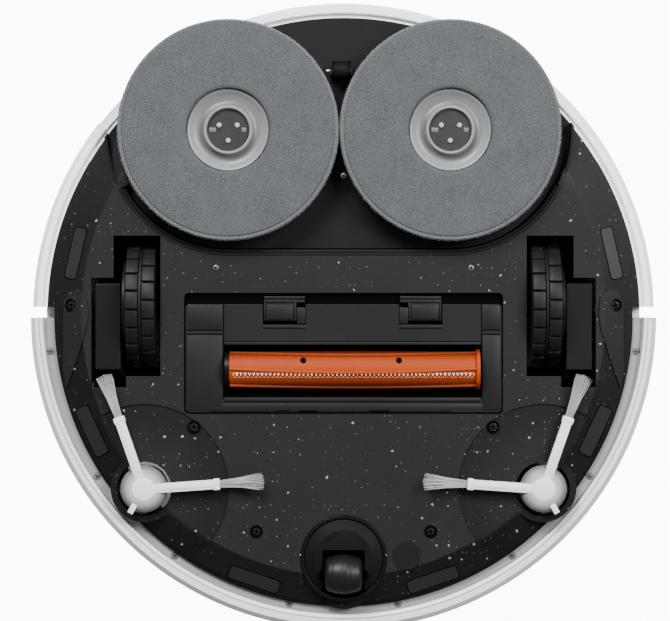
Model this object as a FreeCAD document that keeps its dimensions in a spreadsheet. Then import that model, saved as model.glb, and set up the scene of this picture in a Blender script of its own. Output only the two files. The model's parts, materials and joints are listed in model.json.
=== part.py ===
"""Robot vacuum with a main brush, two side brushes and two turning mop pads.

The frame stands on the floor: +Z is up, the bumper faces -Y and the mop pads are at +Y.
The origin lies on the floor under the middle of the body. All sizes are in millimetres.
"left" is the +X side and "right" the -X side.
"""
import FreeCAD, Part
import Sketcher
import math
import os

doc = FreeCAD.newDocument("robot_vacuum")
sheet = doc.addObject("Spreadsheet::Sheet", "dims")

# ---------------------------------------------------------------- driving dimensions
DIMENSIONS = (
    ("shell_rad", 173.6, "outer radius of the rear shell"),
    ("rim_width", 8.1, "visible width of the white rim seen from below"),
    ("chamfer_width", 19.8, "width of the sloping edge of the base plate"),
    ("chamfer_rise", 9.0, "how far that slope climbs"),
    ("ride_height", 11.0, "floor to the flat underside"),
    ("plate_thick", 2.5, "wall of the base plate"),
    ("cover_z", 76.0, "underside of the top cover"),
    ("cover_thick", 3.0, "wall of the top cover"),
    ("cover_dome", 1.6, "how far the top cover rises to its middle"),
    ("wall", 2.4, "wall of the outer shells"),
    ("seat_gap", 0.2, "gap round a piece that drops into an opening"),
    ("run_gap", 0.05, "radial clearance of a running shaft"),
    ("move_gap", 0.5, "gap round a moving piece"),
    ("lip_z", 18.0, "lowest edge of the shell and bumper lips"),
    ("lip_step", 2.0, "step from the lip up to the flange"),
    ("bumper_rad", 175.0, "outer radius of the bumper"),
    ("bumper_shift", 1.7, "how far the bumper stands forward of the body"),
    ("bumper_top", 74.0, "upper edge of the bumper"),
    ("bumper_start", 2.0, "how far in front of the middle the bumper starts"),
    ("bumper_travel", 4.0, "stroke of the bumper"),
    ("side_gap", 6.0, "opening between the bumper and the rear shell"),
    ("flange_thick", 3.2, "bumper flange that takes its screws"),
    ("window_reach", 0.2, "how far the front window stands past the bumper"),
    ("frame_wall", 2.8, "wall of the inner frame ring"),
    ("mop_half", 61.4, "half the distance between the mop axes"),
    ("mop_shift", 2.4, "sideways shift of the mop pair"),
    ("mop_y", 101.7, "mop axes behind the middle"),
    ("pad_gap", 0.4, "gap between the two pads"),
    ("pad_hole", 22.9, "radius of the hole in the pad"),
    ("pad_thick", 5.5, "thickness of the pad"),
    ("pad_overhang", 3.2, "how far the pad stands past its plate"),
    ("mop_plate_thick", 2.5, "thickness of the mop plate"),
    ("mop_lift", 8.0, "stroke of the mop lift"),
    ("spindle_rad", 7.0, "radius of the mop spindle"),
    ("bay_margin", 6.3, "room round a pad in the mop bay"),
    ("bay_wall", 1.6, "wall of the mop bay"),
    ("wheel_rad", 35.0, "radius over the tyre"),
    ("tyre_width", 17.4, "width of the tyre"),
    ("wheel_x", 112.7, "middle of the tyre from the middle plane"),
    ("wheel_y", 5.0, "wheel axle behind the middle"),
    ("axle_rad", 4.0, "radius of the wheel stub axle"),
    ("pivot_y", -31.0, "suspension pivot along Y"),
    ("pivot_z", 30.0, "suspension pivot height"),
    ("pivot_rad", 3.0, "radius of the suspension pivot"),
    ("arm_x", 123.9, "inner face of the wheel gearbox"),
    ("arm_width", 14.3, "width of the wheel gearbox"),
    ("guard_half", 87.7, "half length of the brush guard"),
    ("guard_front", -54.6, "front edge of the brush guard"),
    ("guard_rear", 5.5, "rear edge of the brush guard"),
    ("guard_thick", 3.5, "thickness of the brush guard"),
    ("slot_right", -76.5, "right end of the brush opening"),
    ("slot_left", 66.7, "left end of the brush opening"),
    ("slot_front", -46.3, "front edge of the brush opening"),
    ("slot_rear", -17.2, "rear edge of the brush opening"),
    ("brush_y", -31.0, "main brush axis along Y"),
    ("brush_z", 14.2, "main brush axis height"),
    ("brush_rad", 11.0, "radius over the brush fins"),
    ("sweep_x", 110.7, "side brush axis from the middle plane"),
    ("sweep_y", -97.0, "side brush axis along Y"),
    ("sweep_hub", 13.1, "radius of the side brush hub"),
    ("sweep_rad", 67.5, "reach of the side brush bristles"),
    ("sweep_dish", 47.0, "radius of the recess round the side brush"),
    ("caster_y", -135.7, "caster swivel axis along Y"),
    ("caster_rad", 23.9, "outer radius of the caster socket"),
    ("caster_wall", 2.0, "wall of the caster socket"),
    ("caster_wheel", 11.3, "radius of the caster wheel"),
    ("caster_trail", 9.0, "caster axle ahead of its swivel"),
    ("caster_width", 21.0, "width of the caster wheel"),
    ("roller_x", 1.2, "rear roller from the middle plane"),
    ("roller_y", 135.0, "rear roller along Y"),
    ("roller_z", 11.5, "rear roller height"),
    ("roller_rad", 5.1, "radius of the rear roller"),
    ("roller_width", 9.6, "width of the rear roller"),
    ("turret_y", 45.0, "laser turret along Y"),
    ("turret_rad", 49.0, "radius of the laser turret"),
    ("turret_tall", 17.0, "how far the turret stands over the cover"),
    ("lid_half", 92.0, "half width of the bin lid"),
    ("lid_front", -140.0, "front edge of the bin lid"),
    ("lid_hinge_y", -32.0, "bin lid hinge along Y"),
    ("lid_pin_rad", 1.2, "radius of the bin lid pin"),
    ("bin_half", 76.0, "half width of the dust bin"),
    ("bin_front", -106.0, "front wall of the dust bin"),
    ("bin_rear", -61.0, "rear wall of the dust bin"),
    ("button_rad", 7.0, "radius of a button"),
    ("screw_rad", 2.35, "radius of a base screw head"),
)


class Size:
    """A length that carries the spreadsheet expression it is worked out from."""

    def __init__(self, text, value):
        self.text = text
        self.value = value

    def _join(self, sign, other, value):
        return Size("(" + self.text + " " + sign + " " + other.text + ")", value)

    def __add__(self, other):
        other = sized(other)
        return self._join("+", other, self.value + other.value)

    def __sub__(self, other):
        other = sized(other)
        return self._join("-", other, self.value - other.value)

    def __mul__(self, other):
        other = sized(other)
        return self._join("*", other, self.value * other.value)

    def __truediv__(self, other):
        other = sized(other)
        return self._join("/", other, self.value / other.value)

    def __radd__(self, other):
        return sized(other) + self

    def __rsub__(self, other):
        return sized(other) - self

    def __rmul__(self, other):
        return sized(other) * self

    def __neg__(self):
        return Size("(0 - " + self.text + ")", -self.value)


def sized(number):
    """Return a plain number as a Size."""
    if isinstance(number, Size):
        return number
    return Size("(" + repr(float(number)) + ")", float(number))


def cosine(degrees):
    return Size("cos(" + repr(float(degrees)) + ")", math.cos(math.radians(degrees)))


def sine(degrees):
    return Size("sin(" + repr(float(degrees)) + ")", math.sin(math.radians(degrees)))


class Dims:
    """The driving dimensions by name."""


D = Dims()
for row, (alias, number, note) in enumerate(DIMENSIONS, start=1):
    sheet.set("A" + str(row), alias)
    sheet.set("B" + str(row), str(number))
    sheet.set("C" + str(row), note)
    sheet.setAlias("B" + str(row), alias)
    setattr(D, alias, Size("dims." + alias, number))
doc.recompute()

# ---------------------------------------------------------------- building blocks
SIDES = (("left", 1.0), ("right", -1.0))
ALONG_X = FreeCAD.Rotation(FreeCAD.Vector(0, 1, 0), 90)
nodes = []


def node(piece):
    """Mark an object as one of the pieces that are written out."""
    nodes.append(piece)
    return piece


def place(piece, x, y, z, rotation=None):
    """Put a piece at a place that follows the sheet."""
    if rotation is not None:
        piece.Placement = FreeCAD.Placement(FreeCAD.Vector(0, 0, 0), rotation)
    for letter, size in zip("xyz", (x, y, z)):
        piece.setExpression("Placement.Base." + letter, sized(size).text)
    return piece


def turn(degrees):
    """A rotation about the vertical."""
    return FreeCAD.Rotation(FreeCAD.Vector(0, 0, 1), degrees)


def drum(name, radius, x, y, low, high):
    """An upright cylinder."""
    piece = doc.addObject("Part::Cylinder", name)
    piece.setExpression("Radius", sized(radius).text)
    piece.setExpression("Height", (sized(high) - low).text)
    return place(piece, x, y, low)


def rod(name, radius, start, end, y, z):
    """A cylinder along X from start to end."""
    piece = doc.addObject("Part::Cylinder", name)
    piece.setExpression("Radius", sized(radius).text)
    piece.setExpression("Height", (sized(end) - start).text)
    return place(piece, start, y, z, ALONG_X)


def block(name, x_low, x_high, y_low, y_high, z_low, z_high):
    """A box between two corners."""
    piece = doc.addObject("Part::Box", name)
    piece.setExpression("Length", (sized(x_high) - x_low).text)
    piece.setExpression("Width", (sized(y_high) - y_low).text)
    piece.setExpression("Height", (sized(z_high) - z_low).text)
    return place(piece, x_low, y_low, z_low)


def turned_block(name, angle, reach_low, reach_high, half_width, z_low, z_high):
    """A box that points outwards from the middle at an angle."""
    piece = doc.addObject("Part::Box", name)
    piece.setExpression("Length", (sized(reach_high) - reach_low).text)
    piece.setExpression("Width", (sized(half_width) * 2).text)
    piece.setExpression("Height", (sized(z_high) - z_low).text)
    across = sized(half_width)
    x = sized(reach_low) * cosine(angle) + across * sine(angle)
    y = sized(reach_low) * sine(angle) - across * cosine(angle)
    return place(piece, x, y, z_low, turn(angle))


def fuse(name, *pieces):
    piece = doc.addObject("Part::MultiFuse", name)
    piece.Shapes = list(pieces)
    return piece


def group(name, *pieces):
    """Separate solids that share one node."""
    piece = doc.addObject("Part::Compound", name)
    piece.Links = list(pieces)
    return piece


def cut(name, base, *tools):
    piece = doc.addObject("Part::Cut", name)
    piece.Base = base
    piece.Tool = tools[0] if len(tools) == 1 else fuse(name + "_tools", *tools)
    return piece


def common(name, first, second):
    piece = doc.addObject("Part::Common", name)
    piece.Base = first
    piece.Tool = second
    return piece


def mirror(name, source):
    """The same piece on the other side of the middle plane."""
    piece = doc.addObject("Part::Mirroring", name)
    piece.Source = source
    piece.Normal = (1, 0, 0)
    return piece


def outline(body, plane, points):
    """A closed sketch of straight lines whose corners follow the sheet."""
    sketch = body.newObject("Sketcher::SketchObject", body.Name + "_outline")
    support = next(item for item in body.Origin.OriginFeatures if item.Role == plane)
    sketch.AttachmentSupport = (support, [""])
    sketch.MapMode = "FlatFace"
    corners = [(sized(across), sized(along)) for across, along in points]
    for index, (across, along) in enumerate(corners):
        after = corners[(index + 1) % len(corners)]
        start = FreeCAD.Vector(across.value, along.value, 0)
        end = FreeCAD.Vector(after[0].value, after[1].value, 0)
        sketch.addGeometry(Part.LineSegment(start, end), False)
    for index in range(len(corners)):
        following = (index + 1) % len(corners)
        sketch.addConstraint(Sketcher.Constraint("Coincident", index, 2, following, 1))
    for index, corner in enumerate(corners):
        for kind, size in zip(("DistanceX", "DistanceY"), corner):
            rule = sketch.addConstraint(Sketcher.Constraint(kind, -1, 1, index, 1, size.value))
            sketch.setExpression("Constraints[" + str(rule) + "]", size.text)
    return sketch


def turned(name, points, x=0, y=0):
    """A body turned about an upright axis from (radius, height) corners."""
    body = doc.addObject("PartDesign::Body", name)
    sketch = outline(body, "XZ_Plane", points)
    turning = body.newObject("PartDesign::Revolution", name + "_turning")
    turning.Profile = sketch
    turning.ReferenceAxis = (sketch, ["V_Axis"])
    turning.Angle = 360
    body.Tip = turning
    return place(body, x, y, 0)


def rolled(name, points, x, y, z):
    """A body turned about an axis along X from (distance along X, radius) corners."""
    body = doc.addObject("PartDesign::Body", name)
    sketch = outline(body, "XY_Plane", points)
    turning = body.newObject("PartDesign::Revolution", name + "_turning")
    turning.Profile = sketch
    turning.ReferenceAxis = (sketch, ["H_Axis"])
    turning.Angle = 360
    body.Tip = turning
    return place(body, x, y, z)


def plate(name, points, low, high, corner=None):
    """A flat body of an outline from low to high, with rounded upright edges if asked."""
    body = doc.addObject("PartDesign::Body", name)
    sketch = outline(body, "XY_Plane", points)
    sketch.setExpression("AttachmentOffset.Base.z", sized(low).text)
    pad = body.newObject("PartDesign::Pad", name + "_pad")
    pad.Profile = sketch
    pad.setExpression("Length", (sized(high) - low).text)
    body.Tip = pad
    if corner is not None:
        doc.recompute()
        upright = []
        for index, edge in enumerate(pad.Shape.Edges, start=1):
            if abs(edge.tangentAt(edge.FirstParameter).z) > 0.99:
                upright.append("Edge" + str(index))
        rounding = body.newObject("PartDesign::Fillet", name + "_rounding")
        rounding.Base = (pad, upright)
        rounding.setExpression("Radius", sized(corner).text)
        body.Tip = rounding
    return body


def rounded_block(name, x_low, x_high, y_low, y_high, z_low, z_high, corner):
    corners = ((x_low, y_low), (x_high, y_low), (x_high, y_high), (x_low, y_high))
    return plate(name, corners, z_low, z_high, corner)


# ---------------------------------------------------------------- sizes worked out
base_rad = D.shell_rad - D.rim_width - D.seat_gap
flat_rad = base_rad - D.chamfer_width
slope = D.chamfer_rise / D.chamfer_width
plate_top = D.ride_height + D.plate_thick
flange_z = D.lip_z + D.lip_step + 0.3
front_rad = base_rad - 4.1
boss_top = D.lip_z - 0.4
sweep_motor_low = flange_z - 0.4
sweep_motor_high = sweep_motor_low + 22
sweep_shaft_top = sweep_motor_low + 9
SWEEP_MOTOR_RAD = 11.0
swivel_high = plate_top + 19
socket_high = swivel_high + 4.5
pad_rad = D.mop_half - D.pad_gap / 2
bay_rad = pad_rad + D.bay_margin
plate_rad = pad_rad - D.pad_overhang
mop_plate_top = D.pad_thick + D.mop_plate_thick
bay_z = mop_plate_top + D.mop_lift + 2.5
bay_top = bay_z + D.plate_thick
frame_rad = D.bumper_rad - 18.4
tyre_in = D.wheel_x - D.tyre_width / 2
tyre_out = D.wheel_x + D.tyre_width / 2
arm_out = D.arm_x + D.arm_width
bumper_y = -D.bumper_shift
cover_top = D.cover_z + D.cover_thick
FAR = 400.0


def spread(sign, inner, outer):
    """Order two distances from the middle plane as low and high X."""
    return (inner, outer) if sign > 0 else (-outer, -inner)


def slope_z(radius):
    """Height of the sloping underside at a radius."""
    return D.ride_height + (sized(radius) - flat_rad) * slope


# ---------------------------------------------------------------- base plate
def base_profile():
    """Underside flat, slope, and the wall above them."""
    return (
        (0, D.ride_height),
        (flat_rad, D.ride_height),
        (base_rad, D.ride_height + D.chamfer_rise),
        (base_rad, D.ride_height + D.chamfer_rise + 1.8),
        (flat_rad - 1, plate_top),
        (0, plate_top),
    )


def mop_bay(name, radius, front, low, high):
    """The shape of the mop bay: a circle round each mop axis and the room between."""
    tools = []
    for side, sign in SIDES:
        x = D.mop_shift + sign * D.mop_half
        tools.append(drum(name + "_" + side, radius, x, D.mop_y, low, high))
    between = block(
        name + "_middle",
        D.mop_shift - D.mop_half,
        D.mop_shift + D.mop_half,
        front,
        base_rad + 20,
        low,
        high,
    )
    return fuse(name, *tools, between)


CLIFF_WINDOWS = ((12.8, 12.3, 3.6), (-24.9, 10.6, 4.3), (-71.4, 9.2, 4.0))
CLIFF_HALF = 14.4
FLAT_SCREWS = ((83.0, -62.6), (48.4, -120.7))
LEAF_SCREW_Y = 5.0
BRIGHT_SCREW = (70.9, 25.7)
leaf_screw_x = base_rad - 14.1


def cliff_prism(name, angle, inset, half_width, margin):
    """An upright rounded prism where a cliff window sits, its long side along the rim."""
    half = sized(half_width) + margin
    long_half = sized(CLIFF_HALF) + margin
    prism = rounded_block(
        name, -half, half, -long_half, long_half, 0, D.ride_height + D.chamfer_rise + 4, 3.0
    )
    reach = base_rad - inset
    return place(prism, reach * cosine(angle), reach * sine(angle), 0, turn(angle))


NOSE_REACH = 3.3
NOSE_RAD = 15.0


def make_base():
    raw = turned("base_disc", base_profile())
    front_edge = cut(
        "base_front_edge",
        block("base_front_half", -FAR, FAR, -FAR, D.side_gap - D.bumper_start, -1, 2 * FAR),
        drum("base_front_keep", front_rad, 0, 0, -2, 2 * FAR),
    )
    bosses = []
    for side, sign in SIDES:
        boss = drum(
            "sweep_boss_" + side, 18.7, sign * D.sweep_x, D.sweep_y, D.ride_height, boss_top
        )
        bosses.append(boss)
        for index, (x, y) in enumerate(FLAT_SCREWS):
            label = "screw_boss_" + side + str(index)
            bosses.append(drum(label, 3.45, sign * x, y, D.ride_height - 0.5, D.ride_height))
    nose_front = front_rad + NOSE_REACH
    nose = common(
        "base_nose",
        drum("nose_round", NOSE_RAD, 0, -(nose_front - NOSE_RAD), boss_top - 2.1, boss_top),
        block("nose_room", -FAR, FAR, -FAR, -(front_rad - 3), boss_top - 2.1, boss_top),
    )
    body = fuse("base_body", cut("base_trimmed", raw, front_edge), *bosses, nose)
    tools = [
        mop_bay(
            "bay_cut",
            bay_rad + D.bay_wall + D.seat_gap,
            D.mop_y - bay_rad - D.bay_wall - D.seat_gap,
            0,
            FAR,
        ),
        rounded_block(
            "guard_cut",
            -(D.guard_half + 0.8),
            D.guard_half + 0.8,
            D.guard_front - 0.7,
            D.guard_rear + 6.2,
            0,
            30,
            2.5,
        ),
        drum("caster_cut", D.caster_rad + D.seat_gap, 0, D.caster_y, 0, 40),
        drum("carpet_cut", 7.4 + D.seat_gap, -35.1, -134.2, 0, 40),
    ]
    for side, sign in SIDES:
        tools.append(wheel_well(side, sign))
        tools.append(gearbox_well(side, sign))
        tools.append(drum("sweep_hole_" + side, 15, sign * D.sweep_x, D.sweep_y, 0, 40))
        dish = drum(
            "sweep_dish_" + side,
            D.sweep_dish,
            sign * D.sweep_x,
            D.sweep_y,
            0,
            D.ride_height + 0.8,
        )
        tools.append(dish)
        for angle, inset, half_width in CLIFF_WINDOWS:
            real_angle = angle if sign > 0 else 180 - angle
            label = "cliff_cut_" + side + str(abs(round(angle)))
            tools.append(cliff_prism(label, real_angle, inset, half_width, D.seat_gap))
        for index, (x, y) in enumerate(FLAT_SCREWS):
            label = "screw_hole_" + side + str(index)
            tools.append(drum(label, D.screw_rad + D.seat_gap, sign * x, y, 0, 40))
        tools.append(
            drum("leaf_hole_" + side, 1.7, sign * leaf_screw_x, LEAF_SCREW_Y, 0, 40)
        )
        tools.append(
            drum("bright_hole_" + side, 1.85, sign * BRIGHT_SCREW[0], BRIGHT_SCREW[1], 0, 40)
        )
    return node(cut("base_plate", body, *tools))


def wheel_well(side, sign):
    inner = tyre_in - 2.3
    outer = tyre_out + 6.3
    low, high = (inner, outer) if sign > 0 else (-outer, -inner)
    front = D.wheel_y - D.wheel_rad - 4.5
    rear = D.wheel_y + D.wheel_rad + 3.5
    return block("wheel_well_" + side, low, high, front, rear, 0, 40)


def gearbox_well(side, sign):
    inner = D.arm_x - 3.1
    outer = arm_out + 1.9
    low, high = (inner, outer) if sign > 0 else (-outer, -inner)
    return block("gearbox_well_" + side, low, high, D.pivot_y - 9.7, D.wheel_y + 15.1, 0, 40)


make_base()
base_solid = turned("window_layer", base_profile())
windows = []
for side, sign in SIDES:
    for angle, inset, half_width in CLIFF_WINDOWS:
        real_angle = angle if sign > 0 else 180 - angle
        label = side + str(abs(round(angle)))
        prism = cliff_prism("cliff_prism_" + label, real_angle, inset, half_width, 0)
        windows.append(common("cliff_window_" + label, prism, base_solid))
node(group("cliff_windows", *windows))
node(
    turned(
        "carpet_sensor",
        (
            (0, D.ride_height - 0.4),
            (6.4, D.ride_height - 0.4),
            (7.4, D.ride_height + 0.6),
            (7.4, plate_top + 6),
            (0, plate_top + 6),
        ),
        -35.1,
        -134.2,
    )
)

# Leaf-shaped plates that cover the joint between bumper and shell, one per side.
leaf_layer = turned(
    "leaf_layer",
    (
        (flat_rad - 6, D.ride_height - 1.2),
        (flat_rad, D.ride_height - 1.2),
        (base_rad, D.ride_height + D.chamfer_rise - 1.2),
        (base_rad, D.ride_height + D.chamfer_rise),
        (flat_rad, D.ride_height),
        (flat_rad - 6, D.ride_height),
    ),
)
LEAF_POINTS = (
    (-17.4, 14.1),
    (-22.8, 9.5),
    (-23.8, 0.5),
    (-22.5, -8.0),
    (-17.5, -24.0),
    (-10.8, -41.7),
    (-8.8, -30.0),
    (-9.2, -8.0),
    (-9.2, 5.0),
    (-12.0, 12.0),
)
leaf_shape = plate(
    "leaf_shape",
    [(base_rad + x, y) for x, y in LEAF_POINTS],
    0,
    D.ride_height + D.chamfer_rise,
)
leaf_plate = cut(
    "leaf_left",
    common("leaf_raw", leaf_shape, leaf_layer),
    drum("leaf_screw_seat", D.screw_rad + D.seat_gap, leaf_screw_x, LEAF_SCREW_Y, 0, 40),
)
node(group("side_leaf_plates", leaf_plate, mirror("leaf_right", leaf_plate)))


def screw(name, x, y, head_z, head_rad, shank_rad):
    """A cross-head screw standing head down."""
    head = drum(name + "_head", head_rad, x, y, head_z, head_z + 1.8)
    shank = drum(name + "_shank", shank_rad, x, y, head_z + 1.8, head_z + 9)
    arms = [
        block(name + "_slot_x", x - 1.3, x + 1.3, y - 0.3, y + 0.3, head_z - 1, head_z + 0.9),
        block(name + "_slot_y", x - 0.3, x + 0.3, y - 1.3, y + 1.3, head_z - 1, head_z + 0.9),
    ]
    return cut(name, fuse(name + "_blank", head, shank), *arms)


leaf_z = slope_z(leaf_screw_x)
screws = []
bright = []
for side, sign in SIDES:
    spots = [(sized(sign * x), y, D.ride_height) for x, y in FLAT_SCREWS]
    for index, (x, y, z) in enumerate(spots):
        screws.append(screw("flat_screw_" + side + str(index), x, y, z, D.screw_rad, 1.6))
    x = sign * leaf_screw_x
    screws.append(
        screw("leaf_screw_" + side, x, LEAF_SCREW_Y, leaf_z - 3.1, D.screw_rad, 1.6)
    )
    x = sized(sign * BRIGHT_SCREW[0])
    bright.append(
        screw("bright_screw_" + side, x, BRIGHT_SCREW[1], D.ride_height - 0.2, 1.65, 1.2)
    )
node(group("base_screws", *screws))

# ---------------------------------------------------------------- mop bay panel
bay_block = mop_bay(
    "bay_block", bay_rad + D.bay_wall, D.mop_y - bay_rad - D.bay_wall, D.ride_height, bay_top
)
bay_room = mop_bay("bay_room", bay_rad, D.mop_y - bay_rad, D.ride_height - 1, bay_z)
bay_disc = drum("bay_disc", base_rad, 0, 0, 0, FAR)
spindle_holes = []
for side, sign in SIDES:
    x = D.mop_shift + sign * D.mop_half
    spindle_holes.append(
        drum("spindle_hole_" + side, D.spindle_rad + 1, x, D.mop_y, 0, FAR)
    )
ear_half = D.roller_width / 2
ears = []
for index, sign in enumerate((1.0, -1.0)):
    near = D.roller_x + sign * (ear_half + 0.3)
    far = D.roller_x + sign * (ear_half + 1.6)
    low, high = (near, far) if sign > 0 else (far, near)
    ears.append(
        block(
            "roller_ear_" + str(index),
            low,
            high,
            D.roller_y - 2.5,
            D.roller_y + 2.5,
            D.roller_z - 2,
            bay_z,
        )
    )
roller_pin_hole = rod(
    "roller_pin_hole", 0.9, D.roller_x - 9, D.roller_x + 9, D.roller_y, D.roller_z
)
roller_room = block(
    "roller_room",
    D.roller_x - ear_half - 0.3,
    D.roller_x + ear_half + 0.3,
    D.roller_y - 6,
    D.roller_y + 6,
    0,
    FAR,
)
bay_solid = common("bay_solid", cut("bay_open", bay_block, bay_room), bay_disc)
bay_screw = (0.0, 76.7)
bay_screw_hole = drum("bay_screw_hole", 1.85, bay_screw[0], bay_screw[1], 0, FAR)
node(
    cut(
        "mop_bay_panel",
        fuse("bay_with_ears", bay_solid, *ears),
        *spindle_holes,
        roller_pin_hole,
        roller_room,
        bay_screw_hole,
    )
)
bay_x, bay_y = (sized(value) for value in bay_screw)
bright.append(screw("bay_screw", bay_x, bay_y, bay_z - 0.2, 1.65, 1.2))
node(group("bright_screws", *bright))
node(rod("rear_roller_pin", 0.9, D.roller_x - 6.4, D.roller_x + 8.4, D.roller_y, D.roller_z))
roller_bore = 0.9 + D.run_gap
node(
    rolled(
        "rear_roller",
        (
            (-ear_half, roller_bore),
            (ear_half, roller_bore),
            (ear_half, D.roller_rad - 0.8),
            (ear_half - 2, D.roller_rad),
            (-(ear_half - 2), D.roller_rad),
            (-ear_half, D.roller_rad - 0.8),
        ),
        D.roller_x,
        D.roller_y,
        D.roller_z,
    )
)

# ---------------------------------------------------------------- mop plates, pads, drive
drive_z = bay_top + 0.5
drive_top = drive_z + 23
spindle_top = drive_z + 14
for side, sign in SIDES:
    x = D.mop_shift + sign * D.mop_half
    node(
        turned(
            side + "_mop_plate",
            (
                (0, 2.6),
                (D.pad_hole - 11, 2.6),
                (D.pad_hole - 9.5, 4.4),
                (D.pad_hole - 3, 4.4),
                (D.pad_hole - 1.8, 3.0),
                (D.pad_hole - 0.5, 3.0),
                (D.pad_hole - 0.5, D.pad_thick),
                (plate_rad, D.pad_thick),
                (plate_rad, mop_plate_top),
                (D.spindle_rad, mop_plate_top),
                (D.spindle_rad, spindle_top),
                (0, spindle_top),
            ),
            x,
            D.mop_y,
        )
    )
    node(
        turned(
            side + "_mop_pad",
            (
                (D.pad_hole, 0.0),
                (pad_rad - 1.5, 0.0),
                (pad_rad, 1.5),
                (pad_rad, D.pad_thick - 0.4),
                (pad_rad - 0.8, D.pad_thick),
                (D.pad_hole, D.pad_thick),
            ),
            x,
            D.mop_y,
        )
    )
drive_block = rounded_block(
    "mop_drive_block",
    D.mop_shift - D.mop_half - 19,
    D.mop_shift + D.mop_half + 19,
    D.mop_y - 18,
    D.mop_y + 18,
    drive_z,
    drive_top,
    12,
)
drive_bores = []
for side, sign in SIDES:
    x = D.mop_shift + sign * D.mop_half
    drive_bores.append(
        drum("drive_bore_" + side, D.spindle_rad + D.run_gap, x, D.mop_y, 0, spindle_top + 0.3)
    )
node(cut("mop_drive", drive_block, *drive_bores))

# ---------------------------------------------------------------- outer shells
shell_ring = turned(
    "shell_ring",
    (
        (base_rad + D.seat_gap, flange_z),
        (base_rad + 2.2, flange_z),
        (base_rad + 2.2, D.lip_z + 0.6),
        (base_rad + 3.0, D.lip_z),
        (D.shell_rad - 2.6, D.lip_z),
        (D.shell_rad, D.lip_z + 3.4),
        (D.shell_rad, D.cover_z - 0.5),
        (D.shell_rad - 0.6, D.cover_z),
        (D.shell_rad - D.wall, D.cover_z),
        (D.shell_rad - D.wall, flange_z + D.wall),
        (base_rad + D.seat_gap, flange_z + D.wall),
    ),
)
shell_front = block(
    "shell_front", -FAR, FAR, -FAR, D.side_gap - D.bumper_start, -1, 2 * FAR
)
NOTCH_ANGLE = 42.0
shell_notch = turned_block(
    "shell_notch", NOTCH_ANGLE, base_rad + 2.2, D.shell_rad + 10, 12.1, 0, D.lip_z + 10
)
CONTACT_NEAR = 20.0
CONTACT_FAR = 34.0


def contact_prism(name, sign, margin):
    """The upright slot of one charging contact in the rear wall."""
    low, high = (CONTACT_NEAR, CONTACT_FAR) if sign > 0 else (-CONTACT_FAR, -CONTACT_NEAR)
    return block(name, low - margin, high + margin, 0, FAR, 30 - margin, 44 + margin)


contacts = []
contact_rooms = []
for side, sign in SIDES:
    contacts.append(
        common("contact_" + side, contact_prism("contact_prism_" + side, sign, 0), shell_ring)
    )
    contact_rooms.append(contact_prism("contact_room_" + side, sign, 0.1))
node(group("charging_contacts", *contacts))
node(cut("rear_shell", shell_ring, shell_front, shell_notch, *contact_rooms))

bumper_in = base_rad + 1.1
bumper_ring = turned(
    "bumper_ring",
    (
        (base_rad - 3.8, flange_z),
        (bumper_in, flange_z),
        (bumper_in, D.lip_z + 0.8),
        (bumper_in + 1.2, D.lip_z),
        (D.bumper_rad - 3.0, D.lip_z),
        (D.bumper_rad, D.lip_z + 4.0),
        (D.bumper_rad, D.bumper_top - 5),
        (D.bumper_rad - 2.0, D.bumper_top),
        (D.bumper_rad - 2.0 - D.wall, D.bumper_top),
        (D.bumper_rad - D.wall, D.bumper_top - 7),
        (D.bumper_rad - D.wall, flange_z + D.flange_thick),
        (base_rad - 3.8, flange_z + D.flange_thick),
    ),
    0,
    bumper_y,
)
bumper_rear = block("bumper_rear", -FAR, FAR, -D.bumper_start, FAR, -1, 2 * FAR)
window_rad = D.bumper_rad + D.window_reach
window_low = D.lip_z + 12
window_high = D.bumper_top - 12
WINDOW_HALF_ANGLE = 25.0
STRIP_HALF_ANGLE = 60.0


def front_sector(name, half_angle):
    """A wedge over the front that spans half_angle to each side, inside the bumper."""
    far = sized(FAR)
    side = far * sine(half_angle)
    ahead = far * cosine(half_angle)
    return place(
        plate(name, ((0, 0), (-side, -ahead), (0, -2 * far), (side, -ahead)), -1, 2 * FAR),
        0,
        bumper_y,
        0,
    )


def bumper_band(name, inner, outer, low, high):
    band = turned(name, ((inner, low), (outer, low), (outer, high), (inner, high)))
    return place(band, 0, bumper_y, 0)


window_gap = front_sector("window_sector", WINDOW_HALF_ANGLE)
window_recess = common(
    "window_recess",
    bumper_band("window_recess_band", D.bumper_rad - 1.4, window_rad + 2, window_low, window_high),
    window_gap,
)
strip_recess_ring = bumper_band(
    "strip_recess_ring",
    D.bumper_rad - 0.9,
    D.bumper_rad + 2,
    D.lip_z + 9,
    D.lip_z + 11,
)
strip_recess = common(
    "strip_recess", strip_recess_ring, front_sector("strip_recess_sector", STRIP_HALF_ANGLE)
)
BUMPER_SCREW_ANGLES = (7.3, 33.4, 55.1, 79.4)
bumper_holes = []
bumper_screws = []
flange_screw_rad = base_rad - 0.5
for side, sign in SIDES:
    for index, angle in enumerate(BUMPER_SCREW_ANGLES):
        x = sign * (flange_screw_rad * cosine(angle))
        y = -(flange_screw_rad * sine(angle))
        label = side + str(index)
        bumper_holes.append(drum("bumper_head_" + label, 2.15, x, y, 0, flange_z + 1.6))
        bumper_holes.append(drum("bumper_shank_" + label, 1.1, x, y, 0, FAR))
        bumper_screws.append(
            fuse(
                "bumper_screw_" + label,
                drum("bumper_screw_head_" + label, 2.1, x, y, flange_z + 0.1, flange_z + 1.5),
                drum("bumper_screw_shank_" + label, 1.0, x, y, flange_z + 1.5, flange_z + 8),
            )
        )
bumper_holes.append(
    drum(
        "bumper_caster_room",
        D.caster_rad + 1,
        0,
        D.caster_y - D.bumper_travel,
        0,
        flange_z + D.flange_thick + 20,
    )
)
node(
    cut("bumper", bumper_ring, bumper_rear, window_recess, strip_recess, *bumper_holes)
)
node(group("bumper_screws", *bumper_screws))
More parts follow.
